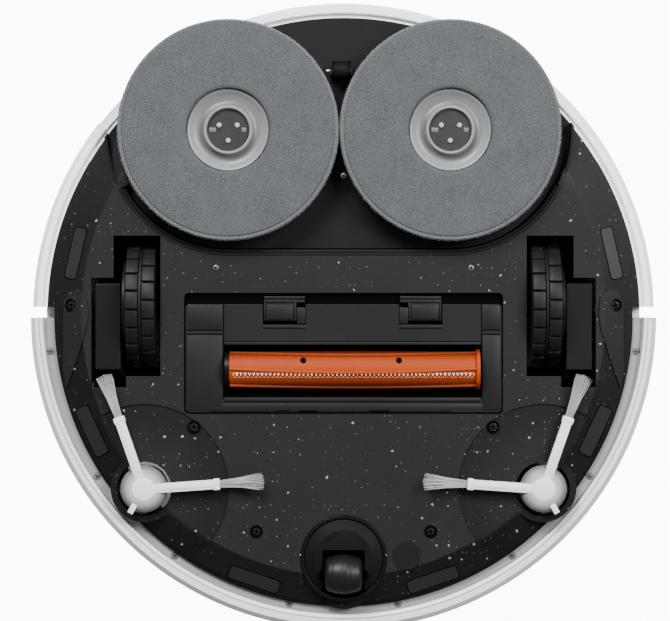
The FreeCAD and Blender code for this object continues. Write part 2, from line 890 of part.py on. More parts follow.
window_piece = common(
    "window_piece",
    bumper_band("window_band", D.bumper_rad - 1.4, window_rad, window_low, window_high),
    front_sector("window_sector_fit", WINDOW_HALF_ANGLE - 0.05),
)
strip_band = bumper_band(
    "strip_band", D.bumper_rad - 0.9, D.bumper_rad + 0.2, D.lip_z + 9, D.lip_z + 11
)
strip_piece = common(
    "strip_piece", strip_band, front_sector("strip_sector_fit", STRIP_HALF_ANGLE - 0.05)
)
node(group("front_window", window_piece, strip_piece))

# ---------------------------------------------------------------- inner frame and top cover
frame_ring = turned(
    "frame_ring",
    (
        (frame_rad - D.frame_wall, slope_z(frame_rad) + 0.6),
        (frame_rad, slope_z(frame_rad) + 0.6),
        (frame_rad, D.cover_z),
        (frame_rad - D.frame_wall, D.cover_z),
    ),
)
frame_foot = cut(
    "frame_foot",
    frame_ring,
    turned("frame_foot_cut", base_profile()),
    mop_bay(
        "frame_bay_cut",
        bay_rad + D.bay_wall + D.seat_gap,
        D.mop_y - bay_rad - D.bay_wall - D.seat_gap,
        0,
        bay_top,
    ),
)
frame_screw_cuts = [
    drum("frame_caster_cut", D.caster_rad + D.seat_gap, 0, D.caster_y, 0, socket_high + D.seat_gap)
]
for side, sign in SIDES:
    frame_screw_cuts.append(
        drum("frame_boss_" + side, 18.9, sign * D.sweep_x, D.sweep_y, 0, boss_top + D.seat_gap)
    )
    frame_screw_cuts.append(
        drum(
            "frame_motor_" + side,
            SWEEP_MOTOR_RAD + D.seat_gap,
            sign * D.sweep_x,
            D.sweep_y,
            0,
            sweep_motor_high + D.seat_gap,
        )
    )
    frame_screw_cuts.append(
        drum("frame_screw_" + side, 2.0, sign * leaf_screw_x, LEAF_SCREW_Y, 0, D.cover_z - 30)
    )
    for angle, inset, half_width in CLIFF_WINDOWS:
        real_angle = angle if sign > 0 else 180 - angle
        label = "frame_cliff_" + side + str(abs(round(angle)))
        frame_screw_cuts.append(cliff_prism(label, real_angle, inset, half_width, D.seat_gap))
node(cut("inner_frame", frame_foot, *frame_screw_cuts))

LID_CORNER = 12.0
LID_BACK = 2.4
LUG_WIDTH = 5.0
LUG_GAP = 0.4
lid_axis_z = D.cover_z + 1.4
lid_swing = cover_top + D.cover_dome - lid_axis_z


def lid_shape(name, margin, rear, low, high):
    """The outline of the bin lid: round corners in front and square ones at the hinge."""
    half = D.lid_half + margin
    whole = rounded_block(
        name + "_rounded",
        -half,
        half,
        D.lid_front - margin,
        rear,
        low,
        high,
        LID_CORNER - D.move_gap + margin,
    )
    square = block(name + "_square", -half, half, D.lid_hinge_y - 2 * LID_CORNER, rear, low, high)
    return fuse(name, whole, square)


BUTTON_X = 13.0
button_y = D.turret_y - D.turret_rad - 10.5
cover_disc = turned(
    "cover_disc",
    (
        (0, D.cover_z),
        (D.shell_rad - 1.6, D.cover_z),
        (D.shell_rad - 1.2, D.cover_z + 1.2),
        (D.shell_rad - 4.0, cover_top),
        (D.shell_rad - 40, cover_top + D.cover_dome),
        (0, cover_top + D.cover_dome),
    ),
)
cover_tools = [
    lid_shape(
        "lid_hole", D.move_gap, D.lid_hinge_y + lid_swing + 2 * D.move_gap, D.cover_z - 9, FAR
    ),
    drum("turret_hole", D.turret_rad - 9, 0, D.turret_y, 0, FAR),
]
for side, sign in SIDES:
    cover_tools.append(
        drum("button_hole_" + side, D.button_rad + 0.25, sign * BUTTON_X, button_y, 0, FAR)
    )
lug_in = D.lid_half - 32
lugs = []
for side, sign in SIDES:
    low, high = spread(sign, lug_in, lug_in + LUG_WIDTH)
    lugs.append(
        block(
            "lug_" + side,
            low,
            high,
            D.lid_hinge_y - LID_BACK,
            D.lid_hinge_y + lid_swing + 3,
            D.cover_z - 3,
            cover_top,
        )
    )
lid_pin = rod(
    "lid_pin_hole", D.lid_pin_rad, -(lug_in + 9), lug_in + 9, D.lid_hinge_y, lid_axis_z
)
cover_open = cut("cover_open", cover_disc, *cover_tools)
node(cut("top_cover", fuse("cover_with_lugs", cover_open, *lugs), lid_pin))
pin_end = lug_in + LUG_WIDTH
node(rod("bin_lid_pin", D.lid_pin_rad, -pin_end, pin_end, D.lid_hinge_y, lid_axis_z))
lid_plate = lid_shape(
    "lid_plate", 0, D.lid_hinge_y + LID_BACK, D.cover_z + 0.6, cover_top + D.cover_dome
)
knuckles = []
lug_rooms = []
for side, sign in SIDES:
    low, high = spread(sign, lug_in - LUG_GAP - 20, lug_in - LUG_GAP)
    knuckles.append(rod("knuckle_" + side, LID_BACK, low, high, D.lid_hinge_y, lid_axis_z))
    low, high = spread(sign, lug_in - LUG_GAP, lug_in + LUG_WIDTH + LUG_GAP)
    lug_rooms.append(
        block("lug_room_" + side, low, high, D.lid_hinge_y - 4, D.lid_hinge_y + 9, 0, FAR)
    )
lid_back_cut = cut(
    "lid_back_cut",
    block("lid_back", -FAR, FAR, D.lid_hinge_y, D.lid_hinge_y + 9, 0, FAR),
    rod("lid_back_round", LID_BACK, -FAR, FAR, D.lid_hinge_y, lid_axis_z),
)
lid_bore = rod(
    "lid_bore", D.lid_pin_rad + D.run_gap, -FAR, FAR, D.lid_hinge_y, lid_axis_z
)
node(
    cut("bin_lid", fuse("lid_blank", lid_plate, *knuckles), lid_back_cut, *lug_rooms, lid_bore)
)

bin_low = D.cover_z - 52
bin_high = D.cover_z - 6
BIN_WALL = 2.0
bin_block = rounded_block(
    "bin_block", -D.bin_half, D.bin_half, D.bin_front, D.bin_rear, bin_low, bin_high, 6
)
bin_room = block(
    "bin_room",
    -(D.bin_half - BIN_WALL),
    D.bin_half - BIN_WALL,
    D.bin_front + BIN_WALL,
    D.bin_rear - BIN_WALL,
    bin_low + BIN_WALL,
    FAR,
)
BIN_MOUTH_HALF = 30.0
bin_mouth = block(
    "bin_mouth",
    -BIN_MOUTH_HALF,
    BIN_MOUTH_HALF,
    D.bin_rear - 10,
    D.bin_rear + 10,
    bin_low + 4,
    bin_low + 18,
)
node(cut("dust_bin", bin_block, bin_room, bin_mouth))
node(
    rounded_block(
        "dust_filter",
        -D.bin_half,
        D.bin_half,
        D.bin_front,
        D.bin_rear,
        bin_high,
        bin_high + 4,
        6,
    )
)

# ---------------------------------------------------------------- laser turret and buttons
turret_base = cover_top + D.cover_dome
turret_high = cover_top + D.turret_tall
node(
    turned(
        "turret_cover",
        (
            (D.turret_rad - 8, turret_base),
            (D.turret_rad, turret_base),
            (D.turret_rad, turret_base + 2.5),
            (D.turret_rad - 2.5, turret_base + 4),
            (D.turret_rad - 2.5, turret_high - 4),
            (D.turret_rad, turret_high - 3),
            (D.turret_rad - 0.6, turret_high - 0.8),
            (D.turret_rad - 3, turret_high),
            (0, turret_high),
            (0, turret_high - 2),
            (D.turret_rad - 5, turret_high - 2.4),
            (D.turret_rad - 5, turret_base + 3),
            (D.turret_rad - 8, turret_base + 3),
        ),
        0,
        D.turret_y,
    )
)
motor_low = D.cover_z - 9
node(
    cut(
        "laser_motor",
        drum("laser_motor_drum", 24, 0, D.turret_y, motor_low, D.cover_z + 0.2),
        drum("laser_bore", 2 + D.run_gap, 0, D.turret_y, motor_low + 2, FAR),
    )
)
node(
    turned(
        "laser_head",
        (
            (0, motor_low + 2.5),
            (2, motor_low + 2.5),
            (2, D.cover_z + 1),
            (34, D.cover_z + 1),
            (36, D.cover_z + 3),
            (36, turret_high - 5),
            (32, turret_high - 3.5),
            (0, turret_high - 3.5),
        ),
        0,
        D.turret_y,
    )
)
for button, x in (("power", -BUTTON_X), ("home", BUTTON_X)):
    node(
        turned(
            button + "_button",
            (
                (0, D.cover_z - 1.4),
                (D.button_rad + 1.6, D.cover_z - 1.4),
                (D.button_rad + 1.6, D.cover_z - 0.1),
                (D.button_rad, D.cover_z - 0.1),
                (D.button_rad, turret_base + 0.7),
                (D.button_rad - 0.5, turret_base + 1.2),
                (0, turret_base + 1.2),
            ),
            x,
            button_y,
        )
    )

# ---------------------------------------------------------------- main brush, housing, guard
housing_low = plate_top
housing_high = plate_top + 30
HOUSING_ROOM = 14.2
brush_right = D.slot_right + 0.9
brush_left = D.slot_left - 0.9
housing = fuse(
    "housing_blank",
    block(
        "housing_flange",
        -(D.guard_half + 4),
        D.guard_half + 4,
        D.guard_front - 3,
        D.guard_rear + 9,
        housing_low,
        housing_low + 2,
    ),
    rounded_block(
        "housing_box",
        -D.guard_half,
        D.guard_half,
        D.guard_front + 3,
        D.guard_rear + 4,
        housing_low,
        housing_high,
        6,
    ),
    block(
        "housing_spout",
        -(BIN_MOUTH_HALF + 2),
        BIN_MOUTH_HALF + 2,
        D.bin_rear + 0.3,
        D.guard_front + 6,
        bin_low + 2,
        bin_low + 20,
    ),
)
shaft_rad = sized(3.0)
node(
    cut(
        "brush_housing",
        housing,
        rod("housing_room", HOUSING_ROOM, D.slot_right, D.slot_left, D.brush_y, D.brush_z),
        block(
            "housing_mouth",
            D.slot_right,
            D.slot_left,
            D.brush_y - HOUSING_ROOM,
            D.brush_y + HOUSING_ROOM,
            0,
            D.brush_z,
        ),
        block(
            "housing_duct",
            -BIN_MOUTH_HALF,
            BIN_MOUTH_HALF,
            D.bin_rear - 2,
            D.brush_y,
            bin_low + 4,
            bin_low + 18,
        ),
        rod(
            "housing_bore",
            shaft_rad + D.run_gap,
            D.slot_right - 7,
            D.slot_left + 7,
            D.brush_y,
            D.brush_z,
        ),
    )
)
core_rad = D.brush_rad - 3
core = rod("brush_core_rod", core_rad, brush_right + 2.2, brush_left - 2.2, D.brush_y, D.brush_z)
brush_parts = [
    core,
    rod("brush_flange", D.brush_rad + 0.8, brush_right, brush_right + 2.2, D.brush_y, D.brush_z),
    rod("brush_shaft", shaft_rad, D.slot_right - 6, D.slot_left + 6, D.brush_y, D.brush_z),
]
FIN_COUNT = 6
for index in range(FIN_COUNT):
    fin = block(
        "brush_fin_" + str(index),
        brush_right + 2.2,
        brush_left - 2.2,
        -0.8,
        0.8,
        0,
        D.brush_rad,
    )
    spin = FreeCAD.Rotation(FreeCAD.Vector(1, 0, 0), 360.0 * index / FIN_COUNT)
    offset = spin.multVec(FreeCAD.Vector(0, -0.8, 0))
    brush_parts.append(
        place(fin, brush_right + 2.2, D.brush_y + offset.y, D.brush_z + offset.z, spin)
    )
bristle_rooms = []
bristle_rows = []
for index in range(FIN_COUNT // 2):
    spin = FreeCAD.Rotation(FreeCAD.Vector(1, 0, 0), 360.0 * (index + 0.25) / (FIN_COUNT // 2))
    offset = spin.multVec(FreeCAD.Vector(0, -1.1, 0))
    for rows, top, name in (
        (bristle_rooms, core_rad + 9, "bristle_room_"),
        (bristle_rows, D.brush_rad + 1.2, "bristle_row_"),
    ):
        strip = block(
            name + str(index), brush_right + 4, brush_left - 4, 0, 2.2, core_rad - 2.5, top
        )
        lift = spin.multVec(FreeCAD.Vector(0, 0, 1))
        foot = core_rad - 2.5
        rows.append(
            place(
                strip,
                brush_right + 4,
                D.brush_y + offset.y + foot * lift.y,
                D.brush_z + offset.z + foot * lift.z,
                spin,
            )
        )
node(cut("brush_core", fuse("brush_blank", *brush_parts), *bristle_rooms))
node(group("brush_bristles", *bristle_rows))
node(
    cut(
        "brush_end_cap",
        rod("end_cap_rod", D.brush_rad - 0.6, brush_left - 2.2, brush_left, D.brush_y, D.brush_z),
        rod("end_cap_bore", shaft_rad, brush_left - 9, brush_left + 9, D.brush_y, D.brush_z),
    )
)
guard_low = plate_top - 0.2 - D.guard_thick
guard_high = plate_top - 0.2
LATCHES = (("left_guard_latch", 21.0, 44.7), ("right_guard_latch", -54.7, -30.8))
latch_front = D.guard_rear - 11.4
latch_stroke = 2.0
guard_tools = [
    block(
        "guard_mouth", D.slot_right, D.slot_left, D.slot_front, D.slot_rear, -1, 40
    )
]
for name, low, high in LATCHES:
    guard_tools.append(block(name + "_slot", low, high, latch_front, 40, -1, 40))
guard_tools.append(
    rod(
        "guard_shaft_room",
        shaft_rad + D.move_gap,
        D.slot_right - 7,
        D.slot_left + 7,
        D.brush_y,
        D.brush_z,
    )
)
for side, sign in SIDES:
    low, high = (16.0, 25.0) if sign > 0 else (-25.0, -16.0)
    guard_tools.append(
        block("guard_notch_" + side, low, high, -60, D.slot_front - 5, -1, guard_low + 1.4)
    )
guard_plate = rounded_block(
    "guard_plate",
    -D.guard_half,
    D.guard_half,
    D.guard_front,
    D.guard_rear,
    guard_low,
    guard_high,
    2.2,
)
node(cut("brush_guard", guard_plate, *guard_tools))
for name, low, high in LATCHES:
    latch_pad = block(
        name + "_pad",
        low + 0.3,
        high - 0.3,
        latch_front + latch_stroke + 0.2,
        D.guard_rear + 4.4,
        guard_low + 0.2,
        guard_high - 0.1,
    )
    finger = block(
        name + "_finger",
        low + 4.5,
        high - 4.5,
        latch_front + latch_stroke + 1.6,
        latch_front + latch_stroke + 11,
        -1,
        guard_low + 1.4,
    )
    node(cut(name, latch_pad, finger))

# ---------------------------------------------------------------- side brushes
ARM_ANGLES = (109.2, 4.0)
TAB_ANGLE = 240.3
ARM_LOW = 6.2
ARM_HIGH = 8.6
FAN_LOW = 1.6
for side, sign in SIDES:
    x = sign * D.sweep_x
    hub = turned(
        side + "_sweep_hub",
        (
            (0, 4.4),
            (6, 4.6),
            (10.5, 5.6),
            (D.sweep_hub, 7.4),
            (D.sweep_hub, D.ride_height - 0.4),
            (2.5, D.ride_height - 0.4),
            (2.5, sweep_shaft_top),
            (0, sweep_shaft_top),
        ),
        x,
        D.sweep_y,
    )
    parts = [hub]
    fans = []
    spots = [(angle, 40.6, 2.75) for angle in ARM_ANGLES] + [(TAB_ANGLE, 14.6, 1.65)]
    for index, (angle, reach, half) in enumerate(spots):
        real_angle = 180 - angle if sign > 0 else angle
        arm = block(side + "_sweep_arm" + str(index), 5, reach, -half, half, ARM_LOW, ARM_HIGH)
        swing = turn(real_angle)
        foot = swing.multVec(FreeCAD.Vector(5, -half, 0))
        parts.append(place(arm, x + foot.x, D.sweep_y + foot.y, ARM_LOW, swing))
        if index < len(ARM_ANGLES):
            label = side + "_fan" + str(index)
            root = plate(
                label + "_root",
                ((40.8, -1.85), (54.0, -3.4), (54.0, 3.4), (40.8, 1.85)),
                FAN_LOW + 1,
                ARM_HIGH - 0.6,
            )
            tips = plate(
                label + "_tips",
                ((47.0, -2.6), (D.sweep_rad, -4.9), (D.sweep_rad, 4.9), (47.0, 2.6)),
                FAN_LOW,
                FAN_LOW + 3.6,
            )
            fans.append(place(fuse(label, root, tips), x, D.sweep_y, 0, swing))
    node(fuse(side + "_side_brush", *parts))
    node(group(side + "_brush_bristles", *fans))
motors = []
for side, sign in SIDES:
    x = sign * D.sweep_x
    motors.append(
        cut(
            "sweep_motor_" + side,
            drum(
                "sweep_motor_drum_" + side,
                SWEEP_MOTOR_RAD,
                x,
                D.sweep_y,
                sweep_motor_low,
                sweep_motor_high,
            ),
            drum(
                "sweep_motor_bore_" + side, 2.5 + D.run_gap, x, D.sweep_y, 0, sweep_shaft_top + 0.5
            ),
        )
    )

# ---------------------------------------------------------------- drive wheels and arms
TREAD_COUNT = 14
brackets = []
springs = []
TREAD_DEPTH = 1.8
ARM_FRONT = 5.0
arm_low = plate_top - 0.5
arm_front = D.pivot_y - ARM_FRONT
arm_rear = D.wheel_y + 12
arm_top = D.pivot_z + 22
for side, sign in SIDES:
    centre = sign * D.wheel_x
    half = D.tyre_width / 2
    tyre_ring = rolled(
        side + "_tyre_ring",
        (
            (-half, D.wheel_rad - 7),
            (half, D.wheel_rad - 7),
            (half, D.wheel_rad - 1.2),
            (half - 1.2, D.wheel_rad),
            (-(half - 1.2), D.wheel_rad),
            (-half, D.wheel_rad - 1.2),
        ),
        centre,
        D.wheel_y,
        D.wheel_rad,
    )
    grooves = []
    for index in range(2 * TREAD_COUNT):
        angle = 180.0 * index / TREAD_COUNT + 90.0 / TREAD_COUNT
        low, high = (-half - 1, -0.9) if index % 2 else (0.9, half + 1)
        groove = block(
            side + "_groove" + str(index),
            low,
            high,
            -1.3,
            1.3,
            D.wheel_rad - TREAD_DEPTH,
            D.wheel_rad + 3,
        )
        spin = FreeCAD.Rotation(FreeCAD.Vector(1, 0, 0), angle)
        across = spin.multVec(FreeCAD.Vector(0, -1.3, 0))
        out = spin.multVec(FreeCAD.Vector(0, 0, 1))
        foot = D.wheel_rad - TREAD_DEPTH
        grooves.append(
            place(
                groove,
                centre + low,
                D.wheel_y + across.y + foot * out.y,
                D.wheel_rad + across.z + foot * out.z,
                spin,
            )
        )
    node(cut(side + "_tyre", tyre_ring, *grooves))
    bore = D.axle_rad + D.run_gap
    rim = D.wheel_rad - 7
    hub_profile = [
        (-half + 0.6, 8),
        (-half + 0.6, rim),
        (half, rim),
        (half, rim - 2),
        (half + 2.0, rim - 2),
        (half + 2.0, bore),
        (-half + 5, bore),
        (-half + 5, 0),
        (-half + 2.5, 0),
        (-half + 2.5, 8),
    ]
    hub = rolled(
        side + "_wheel_hub",
        [(sign * along, radius) for along, radius in hub_profile],
        centre,
        D.wheel_y,
        D.wheel_rad,
    )
    node(hub)
    case = block(
        side + "_arm_case",
        *spread(sign, D.arm_x, arm_out),
        arm_front,
        arm_rear,
        arm_low,
        arm_top,
    )
    trim = cut(
        side + "_arm_trim",
        block(
            side + "_arm_nose", *spread(sign, D.arm_x - 1, arm_out + 1), D.pivot_y - 60, D.pivot_y, -50, 90
        ),
        rod(
            side + "_arm_round", 17.0, *spread(sign, D.arm_x - 2, arm_out + 2), D.pivot_y + 12, D.pivot_z
        ),
    )
    axle_end = D.wheel_x - half + 5.4
    axle = rod(
        side + "_stub_axle", D.axle_rad, *spread(sign, axle_end, D.arm_x + 1), D.wheel_y, D.wheel_rad
    )
    pivot_bore = rod(
        side + "_pivot_bore",
        D.pivot_rad + D.run_gap,
        *spread(sign, D.arm_x - 1, arm_out + 1),
        D.pivot_y,
        D.pivot_z,
    )
    arm_blank = fuse(side + "_arm_blank", cut(side + "_arm_body", case, trim), axle)
    node(cut(side + "_wheel_gearbox", arm_blank, pivot_bore))
    ear = block(
        side + "_bracket_ear",
        *spread(sign, arm_out + 0.5, arm_out + 4.5),
        D.pivot_y - 7,
        D.pivot_y + 7,
        plate_top,
        D.pivot_z + 7,
    )
    pin = rod(
        side + "_bracket_pin",
        D.pivot_rad,
        *spread(sign, D.arm_x + 0.5, arm_out + 1),
        D.pivot_y,
        D.pivot_z,
    )
    ear_blank = fuse(side + "_bracket_blank", ear, pin)
    brackets.append(cut(side + "_wheel_bracket", ear_blank, base_solid))
    spring_x = sign * (D.arm_x + D.arm_width / 2)
    springs.append(
        turned(
            side + "_wheel_spring",
            (
                (3.2, arm_top),
                (5.2, arm_top),
                (5.2, D.cover_z),
                (3.2, D.cover_z),
            ),
            spring_x,
            D.wheel_y - 2,
        )
    )

node(group("wheel_brackets", *brackets))
node(group("wheel_springs", *springs))

# ---------------------------------------------------------------- caster
socket_in = D.caster_rad - D.caster_wall
swivel_rad = socket_in - 0.3
stem_rad = sized(4.0)
node(
    turned(
        "caster_socket",
        (
            (socket_in, D.ride_height - 0.6),
            (D.caster_rad, D.ride_height - 0.6),
            (D.caster_rad, socket_high),
            (stem_rad + D.run_gap, socket_high),
            (stem_rad + D.run_gap, swivel_high + 0.4),
            (socket_in, swivel_high + 0.4),
        ),
        0,
        D.caster_y,
    )
)
axle_y = D.caster_y - D.caster_trail
fork_blank = turned(
    "fork_blank",
    (
        (0, D.ride_height - 2.2),
        (swivel_rad - 6, D.ride_height - 2.0),
        (swivel_rad, D.ride_height + 0.2),
        (swivel_rad, swivel_high),
        (stem_rad, swivel_high),
        (stem_rad, socket_high - 0.2),
        (0, socket_high - 0.2),
    ),
    0,
    D.caster_y,
)
fork_slot = block(
    "fork_slot",
    -(D.caster_width / 2 + 1.2),
    D.caster_width / 2 + 1.2,
    D.caster_y - 40,
    axle_y + D.caster_wheel + 2.5,
    -1,
    D.caster_wheel * 2 + 2,
)
axle_bore = rod("fork_bore", 1.5, -16, 16, axle_y, D.caster_wheel)
node(cut("caster_fork", fork_blank, fork_slot, axle_bore))
node(rod("caster_axle", 1.5, -15.8, 15.8, axle_y, D.caster_wheel))
caster_half = D.caster_width / 2
node(
    rolled(
        "caster_wheel",
        (
            (-caster_half, 1.5 + D.run_gap),
            (caster_half, 1.5 + D.run_gap),
            (caster_half, D.caster_wheel - 2.2),
            (caster_half - 2.5, D.caster_wheel - 0.7),
            (caster_half - 6.5, D.caster_wheel),
            (-(caster_half - 6.5), D.caster_wheel),
            (-(caster_half - 2.5), D.caster_wheel - 0.7),
            (-caster_half, D.caster_wheel - 2.2),
        ),
        0,
        axle_y,
        D.caster_wheel,
    )
)

# ---------------------------------------------------------------- inner units
battery_low = housing_high + 0.5
node(rounded_block("battery", -70, 70, -50, 8, battery_low, battery_low + 20, 4))
node(block("main_board", -78, 78, -52, 8, battery_low + 22, battery_low + 23.6))
node(
    rounded_block(
        "water_tank", 6, 94, 24, D.mop_y - 21, bay_top + 0.5, motor_low - 1, 8
    )
)
fan_x = sized(-46.0)
fan_y = D.mop_y - 43.2
fan_low = bay_top + 0.5
fan_high = fan_low + 34
node(
    cut(
        "fan_housing",
        turned(
            "fan_shell",
            (
                (0, fan_low),
                (23, fan_low),
                (23, fan_high),
                (12, fan_high),
                (12, fan_high - 2),
                (21, fan_high - 2),
                (21, fan_low + 2),
                (0, fan_low + 2),
            ),
            fan_x,
            fan_y,
        ),
        drum("fan_bore", 1.5 + D.run_gap, fan_x, fan_y, fan_low + 0.8, fan_low + 9),
    )
)
node(
    turned(
        "fan_impeller",
        (
            (0, fan_low + 1),
            (1.5, fan_low + 1),
            (1.5, fan_low + 4),
            (20, fan_low + 4),
            (20, fan_low + 8),
            (10, fan_low + 24),
            (0, fan_low + 26),
        ),
        fan_x,
        fan_y,
    )
)
motors.append(rod("main_brush_motor", 8.5, -60, -20, D.guard_rear + 18, plate_top + 10))
node(group("brush_motors", *motors))
switches = []
for side, sign in SIDES:
    x = sign * (frame_rad * sine(40))
    y = -(frame_rad * cosine(40))
    low, high = (x - 12, x - 4) if sign > 0 else (x + 4, x + 12)
    switches.append(block("switch_" + side, low, high, y + 8, y + 16, D.cover_z - 12, D.cover_z))
node(group("bumper_switches", *switches))
# ---------------------------------------------------------------- checks and export
doc.recompute()
for item in doc.Objects:
    if "Invalid" in item.State or "Error" in item.State:
        raise RuntimeError(item.Name + " failed: " + str(item.State))
os.makedirs("parts", exist_ok=True)
for piece in nodes:
    shape = piece.Shape
    if shape.isNull() or not shape.isValid() or not shape.Solids:
        raise RuntimeError(piece.Label + " has no valid solid")
for piece in nodes:
    piece.Shape.exportStep("parts/" + piece.Label + ".step")
    print(piece.Label, len(piece.Shape.Solids), round(piece.Shape.Volume))
print(len(nodes), "pieces")
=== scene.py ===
# %% [markdown]
# # A robot vacuum, seen from below
# The robot stands on its wheels with the bumper towards -Y. The shapes that move and fit come from
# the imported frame. This lesson gives them soft edges, real finishes and the small things that only
# matter to the eye: pile, bristles, treads, seams and screws. Every length is in metres.

import json
import math
import random

import bmesh
import bpy
from mathutils import Matrix, Vector


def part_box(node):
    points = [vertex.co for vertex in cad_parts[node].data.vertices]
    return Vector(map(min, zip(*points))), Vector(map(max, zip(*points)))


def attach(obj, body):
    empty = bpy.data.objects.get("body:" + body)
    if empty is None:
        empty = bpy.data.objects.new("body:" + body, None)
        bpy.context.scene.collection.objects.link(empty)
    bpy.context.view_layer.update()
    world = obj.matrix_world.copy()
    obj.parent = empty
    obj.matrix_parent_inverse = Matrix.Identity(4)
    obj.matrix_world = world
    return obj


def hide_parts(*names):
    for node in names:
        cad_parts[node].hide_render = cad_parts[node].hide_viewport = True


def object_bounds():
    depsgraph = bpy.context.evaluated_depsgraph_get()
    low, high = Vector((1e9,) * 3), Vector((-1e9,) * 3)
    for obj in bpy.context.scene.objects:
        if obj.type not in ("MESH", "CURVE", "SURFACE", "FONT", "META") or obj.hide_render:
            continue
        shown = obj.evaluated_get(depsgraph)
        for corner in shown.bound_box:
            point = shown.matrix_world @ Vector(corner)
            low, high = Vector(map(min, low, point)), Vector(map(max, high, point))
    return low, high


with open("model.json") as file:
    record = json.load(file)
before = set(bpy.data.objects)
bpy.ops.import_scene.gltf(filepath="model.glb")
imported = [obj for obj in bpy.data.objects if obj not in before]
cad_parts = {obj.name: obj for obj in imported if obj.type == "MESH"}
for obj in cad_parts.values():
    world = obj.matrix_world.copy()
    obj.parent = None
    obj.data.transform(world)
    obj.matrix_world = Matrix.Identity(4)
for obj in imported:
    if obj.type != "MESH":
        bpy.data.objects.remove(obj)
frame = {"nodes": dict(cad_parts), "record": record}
cad_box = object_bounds()
nodes = frame["nodes"]
MM = 0.001
FULL_TURN = 2 * math.pi
SIDES = (("left", 1), ("right", -1))
rounded_box = [[round(value, 4) for value in corner] for corner in cad_box]
print("frame pieces:", len(nodes), "box:", rounded_box)

# %% [markdown]
# ## Reading places from the frame
# Nothing is measured twice: a centre or an edge is always asked from the frame, so a piece lands
# where its neighbours are. Three short helpers turn a box into the numbers that are needed.

# %% Places
def low(node, axis):
    """The lowest coordinate of a node along an axis."""
    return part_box(node)[0]["xyz".index(axis)]


def high(node, axis):
    """The highest coordinate of a node along an axis."""
    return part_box(node)[1]["xyz".index(axis)]


def middle(node, axis):
    return (low(node, axis) + high(node, axis)) / 2


PLATE_WALL = 2.5 * MM
underside = low("brush_housing", "z") - PLATE_WALL
print("underside at", round(underside, 4))

# %% [markdown]
# ## A way to write shader maths
# A finish is a small network of nodes. Writing `dust * 0.4 + 0.1` is far easier to read than adding
# Math nodes by hand, so a socket is wrapped in a class whose operators add those nodes.

# %% Shader sockets as numbers
class Wire:
    """One output socket of a finish. Adding or multiplying wires adds Math nodes."""

    def __init__(self, finish, socket):
        self.finish = finish
        self.socket = socket

    def math(self, operation, first, second=0.0):
        node = self.finish.add("ShaderNodeMath", {"operation": operation}, (first, second))
        return Wire(self.finish, node.outputs[0])

    def __add__(self, other):
        return self.math("ADD", self, other)

    def __radd__(self, other):
        return self.math("ADD", other, self)

    def __sub__(self, other):
        return self.math("SUBTRACT", self, other)

    def __rsub__(self, other):
        return self.math("SUBTRACT", other, self)

    def __mul__(self, other):
        return self.math("MULTIPLY", self, other)

    def __rmul__(self, other):
        return self.math("MULTIPLY", other, self)

    def __pow__(self, other):
        return self.math("POWER", self, other)

    def __lt__(self, other):
        return self.math("LESS_THAN", self, other)

    def sine(self):
        return self.math("SINE", self)

    def step(self, start, end):
        """0 before start, 1 after end and a smooth rise between them."""
        node = self.finish.add(
            "ShaderNodeMapRange",
            {"interpolation_type": "SMOOTHSTEP"},
            {"Value": self, "From Min": start, "From Max": end},
        )
        return Wire(self.finish, node.outputs["Result"])


class Finish:
    """A material that is built node by node."""

    def __init__(self, name, **constants):
        self.material = bpy.data.materials.new(name)
        self.material.use_nodes = True
        self.tree = self.material.node_tree
        self.shader = self.tree.nodes["Principled BSDF"]
        for socket, value in constants.items():
            self.shader.inputs[socket.replace("_", " ")].default_value = value

    def add(self, kind, settings=None, sockets=()):
        """Add one node, set it up, then give its sockets values or links."""
        node = self.tree.nodes.new(kind)
        for name, value in (settings or {}).items():
            setattr(node, name, value)
        pairs = sockets.items() if isinstance(sockets, dict) else enumerate(sockets)
        for name, value in pairs:
            self.feed(node.inputs[name], value)
        return node

    def feed(self, socket, value):
        if isinstance(value, Wire):
            self.tree.links.new(value.socket, socket)
        else:
            socket.default_value = value

    def wire(self, node, output=0):
        return Wire(self, node.outputs[output])

    def place(self):
        """The point in the robot's own coordinates."""
        return self.wire(self.add("ShaderNodeTexCoord"), "Object")

    def axes(self):
        split = self.add("ShaderNodeSeparateXYZ", sockets=(self.place(),))
        return self.wire(split, 0), self.wire(split, 1), self.wire(split, 2)

    def stretched(self, scale):
        """Coordinates scaled axis by axis, for a pattern with a direction."""
        settings = {"vector_type": "POINT"}
        return self.wire(
            self.add("ShaderNodeMapping", settings, {"Vector": self.place(), "Scale": scale})
        )

    def noise(self, size, detail=2.0, roughness=0.5, vector=None):
        """Cloudy values from 0 to 1 whose blobs are about `size` metres across."""
        sockets = {
            "Vector": vector or self.place(),
            "Scale": 1.0 / size,
            "Detail": detail,
            "Roughness": roughness,
        }
        return self.wire(self.add("ShaderNodeTexNoise", None, sockets), 0)

    def mix(self, factor, first, second):
        """Blend two colours."""
        node = self.add("ShaderNodeMix", {"data_type": "RGBA"}, {"Factor": factor})
        self.feed(node.inputs[6], first)
        self.feed(node.inputs[7], second)
        return self.wire(node, 2)

    def distance_from(self, centre_x=0.0, centre_y=0.0):
        """How far a point lies from an upright axis."""
        x, y, _ = self.axes()
        across, along = x - centre_x, y - centre_y
        return (across * across + along * along) ** 0.5

    def bump(self, height, distance, strength=1.0):
        sockets = {"Height": height, "Distance": distance, "Strength": strength}
        return self.wire(self.add("ShaderNodeBump", None, sockets))

    def show(self, **sockets):
        """Connect wires to the shader, such as Base_Color=..., and return the material."""
        for name, value in sockets.items():
            self.feed(self.shader.inputs[name.replace("_", " ")], value)
        return self.material


def grey(level):
    return (level, level, level, 1.0)


print("shader helpers ready, mid grey is", grey(0.5))


